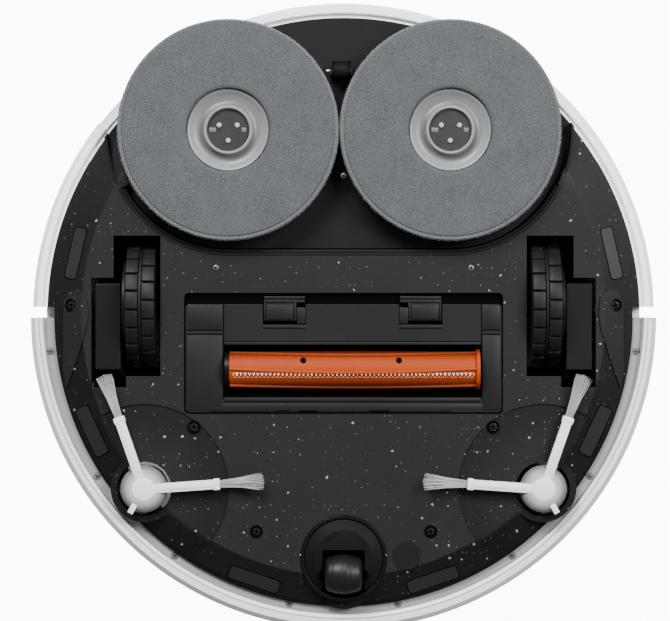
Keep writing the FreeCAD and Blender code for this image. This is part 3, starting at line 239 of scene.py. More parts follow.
# %% [markdown]
# ## Recycled plastic with flecks
# The base is moulded from recycled plastic: a charcoal ground with pale chips of many sizes pressed
# into it. Chips are the cells of a Voronoi pattern that are kept only when the point is close to the
# cell's seed, and only in some cells. Noise bends the coordinates first, so no chip is a neat dot.

# %% Flecked plastic
def chips(finish, spacing, largest, share, bend):
    """A mask of chips, about one in a square of `spacing`, up to `largest` across."""
    wobble = finish.add(
        "ShaderNodeTexNoise", None, {"Vector": finish.place(), "Scale": 1.0 / bend, "Detail": 1.0}
    )
    shift = finish.add(
        "ShaderNodeVectorMath",
        {"operation": "MULTIPLY_ADD"},
        (finish.wire(wobble, "Color"), (bend * 1.7,) * 3, finish.place()),
    )
    cells = finish.add(
        "ShaderNodeTexVoronoi",
        {"voronoi_dimensions": "2D", "feature": "F1"},
        {"Vector": finish.wire(shift), "Scale": 1.0 / spacing, "Randomness": 1.0},
    )
    split = finish.add("ShaderNodeSeparateColor", None, (finish.wire(cells, "Color"),))
    chance, luck = finish.wire(split, 0), finish.wire(split, 1)
    reach = (luck ** 3.0) * (largest / spacing / 2) + 0.12 * largest / spacing
    ragged = finish.noise(spacing * 0.11, 1.0) * 1.9 + 0.1
    near = (finish.wire(cells, "Distance") * ragged) < reach
    return near * (chance < share), luck


SWEEP_CENTRE = (110.7 * MM, -97.0 * MM)


def moulded_plastic(name, level, flecks=True, rough=0.46, slope_shade=None, shine=0.12):
    """Charcoal plastic with a fine spark-eroded grain; slope_shade adds painted shade on the outer
    slope and round the two side brushes.
    """
    finish = Finish(name, Specular_IOR_Level=shine)
    patch = finish.noise(30 * MM, 3.0)
    ground = finish.mix(patch, grey(level * 0.86), grey(level * 1.14))
    if slope_shade is not None:
        start, end, depth = slope_shade
        # Painted shade: the base darkens where its rim slopes up away from the floor.
        slope = finish.distance_from().step(start, end)
        ground = finish.mix(slope * depth, ground, grey(level * 0.2))
        for _, sign in SIDES:
            # Painted shade: each side-brush hollow darkens towards its edge.
            reach = finish.distance_from(sign * SWEEP_CENTRE[0], SWEEP_CENTRE[1])
            dish = reach.step(18 * MM, 47 * MM) * (1.0 - reach.step(47.0 * MM, 47.5 * MM))
            ground = finish.mix(dish * 0.5, ground, grey(level * 0.2))
    colour = ground
    if flecks:
        big, tone = chips(finish, 7.5 * MM, 1.1 * MM, 0.50, 0.55 * MM)
        small, _ = chips(finish, 3.3 * MM, 0.7 * MM, 0.40, 0.35 * MM)
        pale = finish.mix(tone, grey(0.05), grey(0.24))
        colour = finish.mix(big * 0.85, colour, pale)
        colour = finish.mix(small * 0.5, colour, grey(0.11))
    pits = finish.noise(0.35 * MM, 2.0)
    uneven = finish.noise(12 * MM, 2.0) * 0.1 + (rough - 0.05)
    return finish.show(
        Base_Color=colour, Roughness=uneven, Normal=finish.bump(pits, 0.02 * MM, 0.55)
    )


base_finish = moulded_plastic(
    "flecked base plastic", 0.0098, slope_shade=(145.0 * MM, 146.5 * MM, 0.62)
)
plain_finish = moulded_plastic("flecked flat plastic", 0.0098)
screw_finish = moulded_plastic("painted screw", 0.0085, flecks=False, rough=0.4)
guard_finish = moulded_plastic("guard plastic", 0.0085, flecks=False)
bay_finish = moulded_plastic("bay plastic", 0.0062, flecks=False, rough=0.4)
socket_finish = moulded_plastic("socket plastic", 0.0022, flecks=False, rough=0.36)
swivel_finish = moulded_plastic("caster plastic", 0.0036, flecks=False, rough=0.55, shine=0.06)
# Near-black plastic for inner parts, also used for slabs and sheets of painted shade.
inner_and_shade_black = moulded_plastic("inner plastic and shade black", 0.0006, flecks=False, rough=0.8, shine=0.03)
print("plastics made")

# %% [markdown]
# ## Painted shells
# The rim and the bumper are satin white; the bumper's inner flange is greyed by painted shade, with
# two thin lines of painted shadow at its steps. A real lacquer is never quite even, so a slow noise
# moves the roughness a little, and a very fine one gives the orange peel that breaks up a reflection.

# %% Shell finishes
def lacquer(name, level, rough, coat, shade_inside=None):
    """White paint, greyed by painted shade nearer the middle than a radius, with a thin line of
    painted shadow at each of two steps.
    """
    finish = Finish(name, Coat_Weight=coat, Coat_Roughness=0.18, Specular_IOR_Level=0.5)
    tint = finish.mix(finish.noise(40 * MM), grey(level * 0.98), grey(level))
    if shade_inside is not None:
        # Painted shade: inside the radius the white turns grey; the mask below is 1 outside that
        # radius.
        radius = finish.distance_from()
        painted = radius.step(shade_inside, shade_inside + 0.5 * MM)
        tint = finish.mix(painted, grey(level * 0.30), tint)
        # Painted shadow: a thin dark line at each step of the profile.
        for edge in (0.0, 2.4 * MM):
            start = shade_inside + edge
            rise = radius.step(start - 0.3 * MM, start)
            fall = 1.0 - radius.step(start + 0.2 * MM, start + 0.6 * MM)
            tint = finish.mix(rise * fall * 0.75, tint, grey(level * 0.16))
    dust = finish.noise(6 * MM, 4.0, 0.6)
    return finish.show(
        Base_Color=tint,
        Roughness=dust * 0.08 + rough,
        Normal=finish.bump(finish.noise(0.7 * MM), 0.01 * MM, 0.25),
    )


shell_finish = lacquer("white shell", 0.90, 0.34, 0.25)
head_finish = lacquer("pale screw", 0.10, 0.45, 0.0)
head_shadow = lacquer("screw shadow", 0.03, 0.5, 0.0)
pip_finish = lacquer("grey pip", 0.07, 0.4, 0.0)
stud_finish = lacquer("pale stud", 0.30, 0.4, 0.0)
# The bumper's flange inside 167.4 mm is greyed by painted shade.
bumper_finish = lacquer("bumper shell", 0.66, 0.34, 0.2, 167.4 * MM)
button_finish = lacquer("button", 0.60, 0.25, 0.2)
sweep_finish = lacquer("side brush plastic", 0.66, 0.40, 0.05)


def glossy_black(name, level, rough):
    finish = Finish(name, Coat_Weight=0.12, Coat_Roughness=0.12, Specular_IOR_Level=0.25)
    smudge = finish.noise(18 * MM, 5.0, 0.65)
    return finish.show(
        Base_Color=finish.mix(smudge, grey(level), grey(level * 1.6)),
        Roughness=smudge * 0.12 + rough,
    )


window_finish = glossy_black("sensor window", 0.004, 0.12)
cliff_finish = glossy_black("cliff window", 0.0075, 0.34)
barrel_finish = moulded_plastic(
    "caster wheel plastic", 0.0052, flecks=False, rough=0.42, shine=0.2
)


def rubber(name, level, rough=0.62):
    """Black rubber with a dusty, slightly greyer bloom."""
    finish = Finish(name, Specular_IOR_Level=0.15)
    bloom = finish.noise(5 * MM, 5.0, 0.7)
    return finish.show(
        Base_Color=finish.mix(bloom, grey(level), grey(level * 2.2)),
        Roughness=bloom * 0.2 + rough,
        Normal=finish.bump(finish.noise(0.5 * MM, 3.0), 0.03 * MM, 0.6),
    )


tread_finish = rubber("tread rubber", 0.0035, 0.42)
wheel_finish = moulded_plastic("wheel plastic", 0.0045, flecks=False, rough=0.42)


def metal(name, colour, rough):
    """Turned steel with fine tool marks made by a small noise."""
    finish = Finish(name, Metallic=1.0)
    marks = finish.noise(0.25 * MM, 3.0, 0.7)
    return finish.show(
        Base_Color=finish.mix(marks, colour, tuple(c * 0.75 for c in colour[:3]) + (1.0,)),
        Roughness=marks * 0.18 + rough,
        Normal=finish.bump(marks, 0.01 * MM, 0.3),
    )


bright_steel = metal("zinc plated steel", (0.62, 0.62, 0.63, 1.0), 0.28)
satin_steel = metal("satin screw steel", (0.17, 0.17, 0.175, 1.0), 0.45)
gold_finish = metal("plated contact", (0.80, 0.62, 0.30, 1.0), 0.25)
print("shells, rubbers and metals made")

# %% [markdown]
# ## Microfibre, rubber and bristle
# The mop cloth is a short looped pile in two greys. Seen from a distance it is heather: tiny light and
# dark specks over slow clouds. The orange brush is soft rubber that holds a little grey dust, and
# painted shade darkens it towards the top of the roller.

# %% Cloth and brush finishes
def microfibre(name, centre_x, centre_y, edge):
    """Heathered pile, paler and denser in a hem round the edge."""
    finish = Finish(name, Sheen_Weight=0.12, Sheen_Roughness=0.5, Specular_IOR_Level=0.15)
    speck = finish.noise(0.42 * MM, 2.0, 0.75)
    cloud = finish.noise(16 * MM, 3.0)
    loops = finish.add(
        "ShaderNodeTexVoronoi",
        {"feature": "F1"},
        {"Vector": finish.place(), "Scale": 1.0 / (0.85 * MM), "Randomness": 1.0},
    )
    pile = finish.wire(loops, "Distance")
    radius = finish.distance_from(centre_x, centre_y)
    hem = radius.step(edge - 2.0 * MM, edge - 1.2 * MM)
    inside_seam = radius.step(edge - 2.9 * MM, edge - 2.5 * MM)
    seam = inside_seam * (1.0 - radius.step(edge - 2.2 * MM, edge - 1.9 * MM))
    tone = speck.step(0.33, 0.67) * 0.75 + cloud * 0.25
    cloth = finish.mix(tone, (0.018, 0.020, 0.0215, 1.0), (0.092, 0.099, 0.104, 1.0))
    cloth = finish.mix(hem * speck.step(0.45, 0.6) * 0.5, cloth, (0.20, 0.21, 0.215, 1.0))
    cloth = finish.mix(seam * 0.35, cloth, (0.04, 0.045, 0.05, 1.0))
    relief = finish.bump(pile * 0.6 + speck * 0.7 - seam * 0.8, 0.5 * MM, 0.7)
    return finish.show(Base_Color=cloth, Roughness=0.92 - speck * 0.08, Normal=relief)


def brush_rubber():
    finish = Finish("orange rubber", Specular_IOR_Level=0.12)
    dust = finish.noise(7 * MM, 5.0, 0.7)
    streak = finish.noise(1.0 * MM, vector=finish.stretched((0.12, 1.0, 1.0)))
    fresh, worn = (0.285, 0.036, 0.003, 1.0), (0.21, 0.027, 0.002, 1.0)
    colour = finish.mix(dust * 0.4 + streak * 0.3, fresh, worn)
    # Painted shade: the roller darkens from near its lowest line up towards its axis, as deep in the
    # housing.
    height = finish.axes()[2]
    bottom, axis = low("brush_core", "z"), middle("brush_core", "z")
    shade = height.step(bottom + 1.2 * MM, bottom * 0.3 + axis * 0.7)
    colour = finish.mix(shade * 0.85, colour, (0.035, 0.004, 0.0006, 1.0))
    return finish.show(
        Base_Color=colour,
        Roughness=dust * 0.2 + 0.45,
        Normal=finish.bump(streak, 0.03 * MM, 0.4),
    )


def nylon(name, level, spread=0.25):
    """Nylon filaments, each a slightly different tone."""
    finish = Finish(name, Specular_IOR_Level=0.5)
    tone = finish.noise(0.6 * MM, 2.0, 0.6)
    return finish.show(
        Base_Color=finish.mix(tone, grey(level * (1 - spread)), grey(level)),
        Roughness=tone * 0.2 + 0.35,
    )


orange_finish = brush_rubber()
bristle_finish = nylon("white bristle", 0.74)
sweep_bristle_finish = nylon("grey bristle", 0.40, 0.45)


def frosted_plastic(name, centre_x, centre_y):
    """Translucent grey plastic of the mop plate, with faint turning rings from its mould and painted
    shade in the recessed ring round its hub.
    """
    finish = Finish(name, Coat_Weight=0.1, Coat_Roughness=0.3, Specular_IOR_Level=0.3)
    radius = finish.distance_from(centre_x, centre_y)
    rings = (radius * (FULL_TURN / (1.6 * MM))).sine() * 0.5 + 0.5
    cloud = finish.noise(7 * MM, 3.0)
    # Painted shade: the recessed ring between the two raised beads darkens.
    groove_shade = radius.step(13.4 * MM, 14.4 * MM) * (1.0 - radius.step(15.5 * MM, 20.5 * MM))
    colour = finish.mix(groove_shade * 0.7 + cloud * 0.15, grey(0.185), grey(0.05))
    core = 1.0 - radius.step(11.5 * MM, 11.9 * MM)
    colour = finish.mix(core, colour, grey(0.016))
    return finish.show(
        Base_Color=colour, Roughness=cloud * 0.15 + 0.30, Normal=finish.bump(rings, 0.02 * MM, 0.3)
    )


print("cloth, rubber, bristle and plate finishes made")

# %% [markdown]
# ## Turning a bmesh into a piece
# Every new piece goes through one function. It makes the object at the origin, shades it smooth
# except over real corners, and lets it ride on the frame body that carries it.

# %% Making a piece
body_of_node = {
    node: body for body, members in frame["record"]["behaviour"]["bodies"].items() for node in members
}


def piece_from(mesh_in_hand, name, finish, body, corner=35, replaces=()):
    """Make an object of a bmesh and let it ride on a body."""
    mesh = bpy.data.meshes.new(name)
    mesh_in_hand.to_mesh(mesh)
    mesh_in_hand.free()
    mesh.shade_smooth()
    mesh.set_sharp_from_angle(angle=math.radians(corner))
    mesh.materials.append(finish)
    piece = bpy.data.objects.new(name, mesh)
    bpy.context.collection.objects.link(piece)
    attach(piece, body)
    if replaces:
        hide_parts(*replaces)
    return piece


# %% [markdown]
# ## Soft edges on moulded pieces
# A moulded corner is never knife sharp: its small radius catches a line of light. The frame's pieces
# are loose triangles, so a copy is merged and its flat faces joined before a bevel is put on it.

# %% Softened frame pieces
def softened(node, finish, width):
    """Stand a copy with rounded corners in place of a frame piece."""
    shape = bmesh.new()
    shape.from_mesh(nodes[node].data)
    bmesh.ops.remove_doubles(shape, verts=shape.verts, dist=0.004 * MM)
    bmesh.ops.dissolve_limit(
        shape, angle_limit=math.radians(0.5), verts=shape.verts, edges=shape.edges
    )
    piece = piece_from(shape, node + "_soft", finish, body_of_node[node], 14, (node,))
    soft = piece.modifiers.new("soft edges", "BEVEL")
    soft.width = width
    soft.segments = 2
    soft.limit_method = "ANGLE"
    soft.angle_limit = math.radians(32)
    soft.harden_normals = True


SOFTENED = (
    ("base_plate", base_finish, 0.45),
    ("mop_bay_panel", bay_finish, 0.5),
    ("side_leaf_plates", plain_finish, 0.35),
    ("brush_housing", inner_and_shade_black, 0.3),
    ("caster_socket", socket_finish, 0.45),
    ("rear_shell", shell_finish, 0.6),
    ("bumper", bumper_finish, 0.7),
    ("front_window", window_finish, 0.3),
    ("top_cover", shell_finish, 0.3),
    ("bin_lid", shell_finish, 0.5),
    ("turret_cover", shell_finish, 0.5),
    ("power_button", button_finish, 0.35),
    ("home_button", button_finish, 0.35),
    ("left_wheel_gearbox", wheel_finish, 1.2),
    ("right_wheel_gearbox", wheel_finish, 1.2),
    ("carpet_sensor", bay_finish, 0.25),
)
for node, finish, width in SOFTENED:
    softened(node, finish, width * MM)
PLAIN = {
    "bin_lid_pin": bright_steel,
    "rear_roller_pin": bright_steel,
    "caster_axle": socket_finish,
    "wheel_springs": bright_steel,
    "charging_contacts": gold_finish,
    "laser_head": window_finish,
    "inner_frame": inner_and_shade_black,
    "laser_motor": inner_and_shade_black,
    "mop_drive": inner_and_shade_black,
    "brush_motors": inner_and_shade_black,
    "wheel_brackets": inner_and_shade_black,
    "bumper_switches": inner_and_shade_black,
    "fan_housing": inner_and_shade_black,
    "fan_impeller": guard_finish,
    "brush_end_cap": socket_finish,
}


def smoked(name, colour, clear):
    finish = Finish(name, Transmission_Weight=clear, IOR=1.5)
    dim = tuple(part * 0.8 for part in colour[:3]) + (1.0,)
    return finish.show(
        Base_Color=finish.mix(finish.noise(9 * MM), colour, dim),
        Roughness=finish.noise(4 * MM, 3.0) * 0.1 + 0.1,
    )


PLAIN["dust_bin"] = smoked("smoked bin plastic", (0.10, 0.105, 0.11, 1.0), 0.3)
PLAIN["water_tank"] = smoked("tank plastic", (0.16, 0.17, 0.18, 1.0), 0.3)


def ribbed(name, first, second, pitch, axis):
    """Paper, sleeve or board with bands that repeat along an axis."""
    finish = Finish(name)
    along = finish.axes()[axis]
    bands = (along * (FULL_TURN / pitch)).sine() * 0.5 + 0.5
    grain = finish.noise(0.8 * MM, 3.0)
    return finish.show(
        Base_Color=finish.mix(bands * 0.6 + grain * 0.4, first, second),
        Roughness=grain * 0.2 + 0.6,
        Normal=finish.bump(bands, 0.4 * MM, 0.6),
    )


PLAIN["dust_filter"] = ribbed("pleated paper", grey(0.42), grey(0.68), 3 * MM, 0)
PLAIN["battery"] = ribbed(
    "battery sleeve", (0.03, 0.06, 0.14, 1), (0.05, 0.09, 0.20, 1), 18 * MM, 0
)
PLAIN["main_board"] = ribbed(
    "circuit board", (0.01, 0.09, 0.035, 1), (0.02, 0.14, 0.06, 1), 2.5 * MM, 1
)
for node, finish in PLAIN.items():
    nodes[node].data.materials.clear()
    nodes[node].data.materials.append(finish)
print("softened", len(SOFTENED), "pieces and dressed", len(PLAIN))

# %% [markdown]
# ## Two ways to start a shape
# Most of the parts are turned or boxy. A lathe spins a short profile round an axis. A block starts
# from a cube, is bevelled at once and then moved, so a whole panel is a loop over a few blocks.

# %% Lathe and block
def add_part(shape, part, move):
    """Move a small bmesh and add it to a bigger one."""
    bmesh.ops.transform(part, matrix=move, verts=part.verts)
    mesh = bpy.data.meshes.new("part")
    part.to_mesh(mesh)
    part.free()
    shape.from_mesh(mesh)
    bpy.data.meshes.remove(mesh)


def lathe(shape, profile, centre, axis="Z", steps=96, closed=False):
    """Spin a profile of (radius, height) points about an axis through a centre."""
    part = bmesh.new()
    corners = [part.verts.new((radius, 0, height)) for radius, height in profile]
    pairs = list(zip(corners, corners[1:]))
    if closed:
        pairs.append((corners[-1], corners[0]))
    edges = [part.edges.new(pair) for pair in pairs]
    bmesh.ops.spin(
        part,
        geom=corners + edges,
        cent=(0, 0, 0),
        axis=(0, 0, 1),
        angle=FULL_TURN,
        steps=steps,
        use_merge=True,
    )
    bmesh.ops.remove_doubles(part, verts=part.verts, dist=0.001 * MM)
    bmesh.ops.recalc_face_normals(part, faces=part.faces)
    turn = Matrix.Rotation(math.radians(90), 4, "Y") if axis == "X" else Matrix.Identity(4)
    add_part(shape, part, Matrix.Translation(Vector(centre)) @ turn)


def block(shape, x_span, y_span, z_span, round_by=0.4 * MM, move=None, segments=2):
    """A box between limits with rounded edges, moved by a matrix if one is given."""
    size = [limits[1] - limits[0] for limits in (x_span, y_span, z_span)]
    centre = [(limits[0] + limits[1]) / 2 for limits in (x_span, y_span, z_span)]
    part = bmesh.new()
    bmesh.ops.create_cube(part, size=1.0)
    bmesh.ops.scale(part, vec=size, verts=part.verts)
    if round_by:
        bmesh.ops.bevel(
            part,
            geom=part.edges,
            offset=min(round_by, min(size) * 0.45),
            offset_type="OFFSET",
            segments=segments,
            profile=0.5,
            affect="EDGES",
            material=-1,
        )
    place = Matrix.Translation(Vector(centre))
    add_part(shape, part, place if move is None else move @ place)


def turned(angle, axis, about):
    """The matrix of a turn in degrees about an axis through a point."""
    about = Vector(about)
    spin = Matrix.Rotation(math.radians(angle), 4, axis)
    return Matrix.Translation(about) @ spin @ Matrix.Translation(-about)


def span(middle_value, width):
    """The limits of a width about a middle."""
    return (middle_value - width / 2, middle_value + width / 2)


def ordered(first, second):
    """The limits between two values, the lower one first."""
    return (min(first, second), max(first, second))


def join_rows(shape, rows, closed=False):
    """Lay faces between neighbouring rows of vertices."""
    following = rows[1:] + rows[:1] if closed else rows[1:]
    for first, second in zip(rows, following):
        for index in range(len(first) - 1):
            shape.faces.new((first[index], first[index + 1], second[index + 1], second[index]))


def thickened(shape, height):
    """Give a flat sheet a thickness upwards."""
    made = bmesh.ops.extrude_face_region(shape, geom=list(shape.faces))
    raised = [item for item in made["geom"] if isinstance(item, bmesh.types.BMVert)]
    bmesh.ops.translate(shape, verts=raised, vec=(0, 0, height))
    bmesh.ops.recalc_face_normals(shape, faces=shape.faces)


print("lathe, block and sheet helpers ready")


# %% [markdown]
# ## Mop plates and pads
# Each mop is a frosted plate with a sunken dish, and a cloth ring that grips it. The cloth is a
# foam-backed microfibre disc: its lower face is flat on the floor, its hem is rolled, and the pile is
# uneven by a few tenths. It is shaped by a lathe and then pushed about by smooth noise, because it
# is too thin and too firmly stuck to its plate for a cloth simulation to move it.

# %% Mop plates
for side, _ in SIDES:
    pad_node, plate_node = side + "_mop_pad", side + "_mop_plate"
    centre_x, centre_y = middle(pad_node, "x"), middle(pad_node, "y")
    plate_finish = frosted_plastic(side + " mop plate", centre_x, centre_y)
    shape = bmesh.new()
    profile = (
        (0.0, 4.9),
        (11.4, 4.9),
        (11.75, 4.6),
        (11.9, 3.0),
        (12.3, 2.65),
        (13.0, 2.65),
        (13.4, 3.0),
        (13.9, 4.9),
        (15.5, 6.0),
        (17.4, 6.1),
        (19.4, 5.2),
        (20.9, 3.7),
        (21.6, 3.0),
        (22.2, 2.9),
        (22.6, 3.2),
        (22.65, 5.6),
        (58.0, 5.6),
        (58.0, 8.0),
        (7.0, 8.0),
        (7.0, 30.0),
        (0.0, 30.0),
    )
    lathe(shape, [(r * MM, z * MM) for r, z in profile], (centre_x, centre_y, 0), steps=144)
    bmesh.ops.recalc_face_normals(shape, faces=shape.faces)
    piece_from(
        shape, side + "_plate", plate_finish, body_of_node[plate_node], 40, (plate_node,)
    )
    shape = bmesh.new()
    for dot_x, dot_y, dot_r in ((5.0, 2.7, 1.4), (-5.0, 2.7, 1.4), (0.0, -5.8, 1.4)):
        lathe(
            shape,
            [(r * MM, z * MM) for r, z in ((0, 3.7), (dot_r - 0.4, 3.7), (dot_r, 4.1), (dot_r, 4.95))],
            (centre_x + dot_x * MM, centre_y + dot_y * MM, 0),
            steps=24,
        )
    piece_from(shape, side + "_plate_studs", stud_finish, body_of_node[plate_node])
    shape = bmesh.new()
    for dot_x, half_width in ((8.6, 1.9), (-8.7, 1.35)):
        block(
            shape,
            span(centre_x + dot_x * MM, 2 * half_width * MM),
            span(centre_y, 2.7 * MM),
            (4.45 * MM, 5.1 * MM),
            0.3 * MM,
        )
    piece_from(shape, side + "_plate_pips", pip_finish, body_of_node[plate_node])
print("mop plates made")

# %% [markdown]
# The cloth ring gets its flat sole, its rolled hem, a line of stitches and a fringe of loose fibres
# that breaks the outline. A fibre has only a few faces, because there are many of them.

# %% Mop pads
PAD_STITCHES = 190
PAD_FIBRES = 1500


def smooth_wave(angle, phase):
    """A slow unevenness round a ring, made of three waves."""
    return (
        math.sin(3 * angle + phase)
        + 0.6 * math.sin(7 * angle + 2.1 * phase)
        + 0.4 * math.sin(13 * angle)
    ) / 2.0


def fibre(shape, start, end, thick, sides=3):
    """One tapering filament between two points."""
    start, end = Vector(start), Vector(end)
    along = end - start
    turn = along.to_track_quat("Z", "Y").to_matrix().to_4x4()
    place = Matrix.Translation((start + end) / 2) @ turn
    bmesh.ops.create_cone(
        shape,
        cap_ends=True,
        segments=sides,
        radius1=thick / 2,
        radius2=thick * 0.12,
        depth=along.length,
        matrix=place,
    )


for index, (side, _) in enumerate(SIDES):
    pad_node = side + "_mop_pad"
    centre_x, centre_y = middle(pad_node, "x"), middle(pad_node, "y")
    pad_top = high(pad_node, "z")
    chance = random.Random(20 + index)
    shape = bmesh.new()
    sole = [(22.95, 4.6), (23.0, 1.2), (23.5, 0.5), (25.0, 0.25)]
    sole += [(25.0 + step * 3.3, 0.22) for step in range(1, 11)]
    sole += [(58.9, 0.35), (59.3, 0.62), (59.7, 0.35), (60.4, 0.3), (61.0, 0.9), (61.2, 2.2)]
    sole += [(61.1, 4.2), (60.6, 5.2), (59.6, 5.5), (23.2, 5.5)]
    sole = [(radius * MM, height * MM) for radius, height in sole]
    lathe(shape, sole, (centre_x, centre_y, 0), steps=240, closed=True)
    for vertex in shape.verts:
        across, along = vertex.co.x - centre_x, vertex.co.y - centre_y
        angle = math.atan2(along, across)
        reach = math.hypot(across, along)
        edge_share = max(0.0, (reach - 50 * MM) / (11 * MM))
        if vertex.co.z < pad_top * 0.9:
            shift = 0.07 * MM * smooth_wave(angle, 1.3 + index + reach * 60) * edge_share
            vertex.co.x += shift * math.cos(angle)
            vertex.co.y += shift * math.sin(angle)
            vertex.co.z += 0.08 * MM * (1 + smooth_wave(angle * 2, reach * 90))
    bmesh.ops.recalc_face_normals(shape, faces=shape.faces)
    cloth = microfibre(side + " microfibre", centre_x, centre_y, 61.2 * MM)
    pad = piece_from(
        shape, side + "_pad", cloth, body_of_node[pad_node], 60, (pad_node,)
    )
    shape = bmesh.new()
    for _ in range(PAD_FIBRES):
        angle = chance.uniform(0, FULL_TURN)
        reach = (61.2 if chance.random() < 0.8 else 23.1) * MM
        inward = -1 if reach < 30 * MM else 1
        z = chance.uniform(0.8, 3.8) * MM
        start = (centre_x + reach * math.cos(angle), centre_y + reach * math.sin(angle), z)
        bend = angle + chance.uniform(-0.8, 0.8)
        length = chance.uniform(0.15, 0.55) * MM * inward
        end = (
            start[0] + length * math.cos(bend),
            start[1] + length * math.sin(bend),
            max(0.1 * MM, z + chance.uniform(-0.4, 0.4) * MM),
        )
        fibre(shape, start, end, 0.16 * MM)
    for stitch in range(PAD_STITCHES):
        angle = FULL_TURN * stitch / PAD_STITCHES
        reach = 59.3 * MM
        half = 0.34 * FULL_TURN / PAD_STITCHES
        start, end = (
            (centre_x + reach * math.cos(turn), centre_y + reach * math.sin(turn), 0.45 * MM)
            for turn in (angle - half, angle + half)
        )
        fibre(shape, start, end, 0.42 * MM, 5)
    thread = nylon(side + " pad thread", 0.17, 0.4)
    piece_from(shape, side + "_pad_fibres", thread, body_of_node[pad_node])
print("mops made")

# %% [markdown]
# ## The main brush
# An orange rubber sleeve with bowed fins, and between two fins a row of short white tufts that lean
# alternately left and right. The fins bow by two millimetres so that dirt moves to the middle.

# %% Main brush
brush_left = low("brush_end_cap", "x")
brush_right = -75.6 * MM
brush_y = middle("brush_core", "y")
brush_z = middle("brush_core", "z")
SLEEVE_RADIUS = 10.1 * MM
FIN_STEPS = 48


def on_brush(along, turn, radius):
    """A point of the roller: turn is measured from straight down towards the bumper."""
    return Vector((along, brush_y - radius * math.sin(turn), brush_z - radius * math.cos(turn)))


shape = bmesh.new()
length = brush_left - brush_right
profile = (
    (0.0, 0.0),
    (11.75 * MM, 0.0),
    (11.8 * MM, 0.3 * MM),
    (11.8 * MM, 1.9 * MM),
    (11.4 * MM, 2.2 * MM),
    (SLEEVE_RADIUS, 2.3 * MM),
    (SLEEVE_RADIUS, length - 0.6 * MM),
    (SLEEVE_RADIUS - 0.6 * MM, length),
    (0.0, length),
)
lathe(shape, profile, (brush_right, brush_y, brush_z), axis="X", steps=72)
for fin in range(6):
    start_turn = math.radians(-64 + 60 * fin)
    rows = []
    for step in range(FIN_STEPS + 1):
        share = step / FIN_STEPS
        along = brush_right + 2.3 * MM + share * (length - 3.0 * MM)
        bow = math.radians(12) * math.sin(math.pi * share)
        turn = start_turn + bow
        corners = []
        for offset, radius in ((-6, 9.8), (-4, 11.0), (-1.5, 11.3), (1.5, 11.3), (4, 11.0), (6, 9.8)):
            point = on_brush(along, turn + math.radians(offset), radius * MM)
            corners.append(shape.verts.new(point))
        rows.append(corners)
    join_rows(shape, rows)
    shape.faces.new(rows[0])
    shape.faces.new(list(reversed(rows[-1])))
bmesh.ops.recalc_face_normals(shape, faces=shape.faces)
piece_from(shape, "brush_sleeve", orange_finish, "main_brush", 40, ("brush_core",))

shape = bmesh.new()
chance = random.Random(4)
TUFT_PITCH = 1.15 * MM
for tuft in range(int((length - 5 * MM) / TUFT_PITCH)):
    along = brush_right + 4.0 * MM + tuft * TUFT_PITCH
    for row, (turn_start, turn_end) in enumerate(((8, 15), (25, 18))):
        lean = (0.6 if (tuft + row) % 2 else -0.6) * MM
        for _ in range(3):
            shake = chance.uniform(-0.12, 0.12) * MM
            start = on_brush(along + shake, math.radians(turn_start), 10.0 * MM)
            reach = chance.uniform(11.6, 12.1) * MM
            end = on_brush(along + lean + shake, math.radians(turn_end), reach)
            fibre(shape, start, end, 0.34 * MM, 4)
piece_from(shape, "brush_tufts", bristle_finish, "main_brush", 60, ("brush_bristles",))

# Painted shade: the two holes in the sleeve are dark discs, not cut holes.
shape = bmesh.new()
for along in (22.3 * MM, -30.6 * MM):
    turn = math.radians(-31)
    start = on_brush(along, turn, 11.0 * MM)
    end = on_brush(along, turn, 10.0 * MM)
    turn = (start - end).to_track_quat("Z", "Y").to_matrix().to_4x4()
    bmesh.ops.create_cone(
        shape,
        cap_ends=True,
        segments=28,
        radius1=1.55 * MM,
        radius2=1.55 * MM,
        depth=1.0 * MM,
        matrix=Matrix.Translation((start + end) / 2) @ turn,
    )
piece_from(shape, "brush_hole_shadows", inner_and_shade_black, "main_brush")
print("main brush made")

# %% [markdown]
# ## Side brushes
# A domed hub, two stiff arms and a short tab. Each arm ends in a small clamp from which a fan of
# single bristles opens and droops to the floor.

# %% Side brushes
ARM_TURNS = (70.8, 176.0)
TAB_TURN = -60.3
ARM = (
    (3.0, 40.4, 5.3, 4.1, 8.6, 0.6),
    (10.0, 39.0, 2.4, 3.8, 7.2, 0.4),
    (38.6, 42.4, 6.4, 4.0, 8.8, 0.7),
)
TAB = ((9.4, 15.2, 3.3, 4.6, 8.2, 0.5),)
BRISTLES = 120


def dome_finish(side, centre_x, centre_y):
    """Pale plastic, greyed by painted shade towards the rim of the hub."""
    finish = Finish(side + " hub plastic", Specular_IOR_Level=0.3)
    # Painted shade: grey rises from 5.5 mm to 12.6 mm out from the hub's axis.
    rim = finish.distance_from(centre_x, centre_y).step(5.5 * MM, 12.6 * MM)
    cloud = finish.noise(5 * MM, 2.0)
    return finish.show(
        Base_Color=finish.mix(rim * 0.9 + cloud * 0.1, grey(0.42), grey(0.085)),
        Roughness=cloud * 0.1 + 0.4,
    )


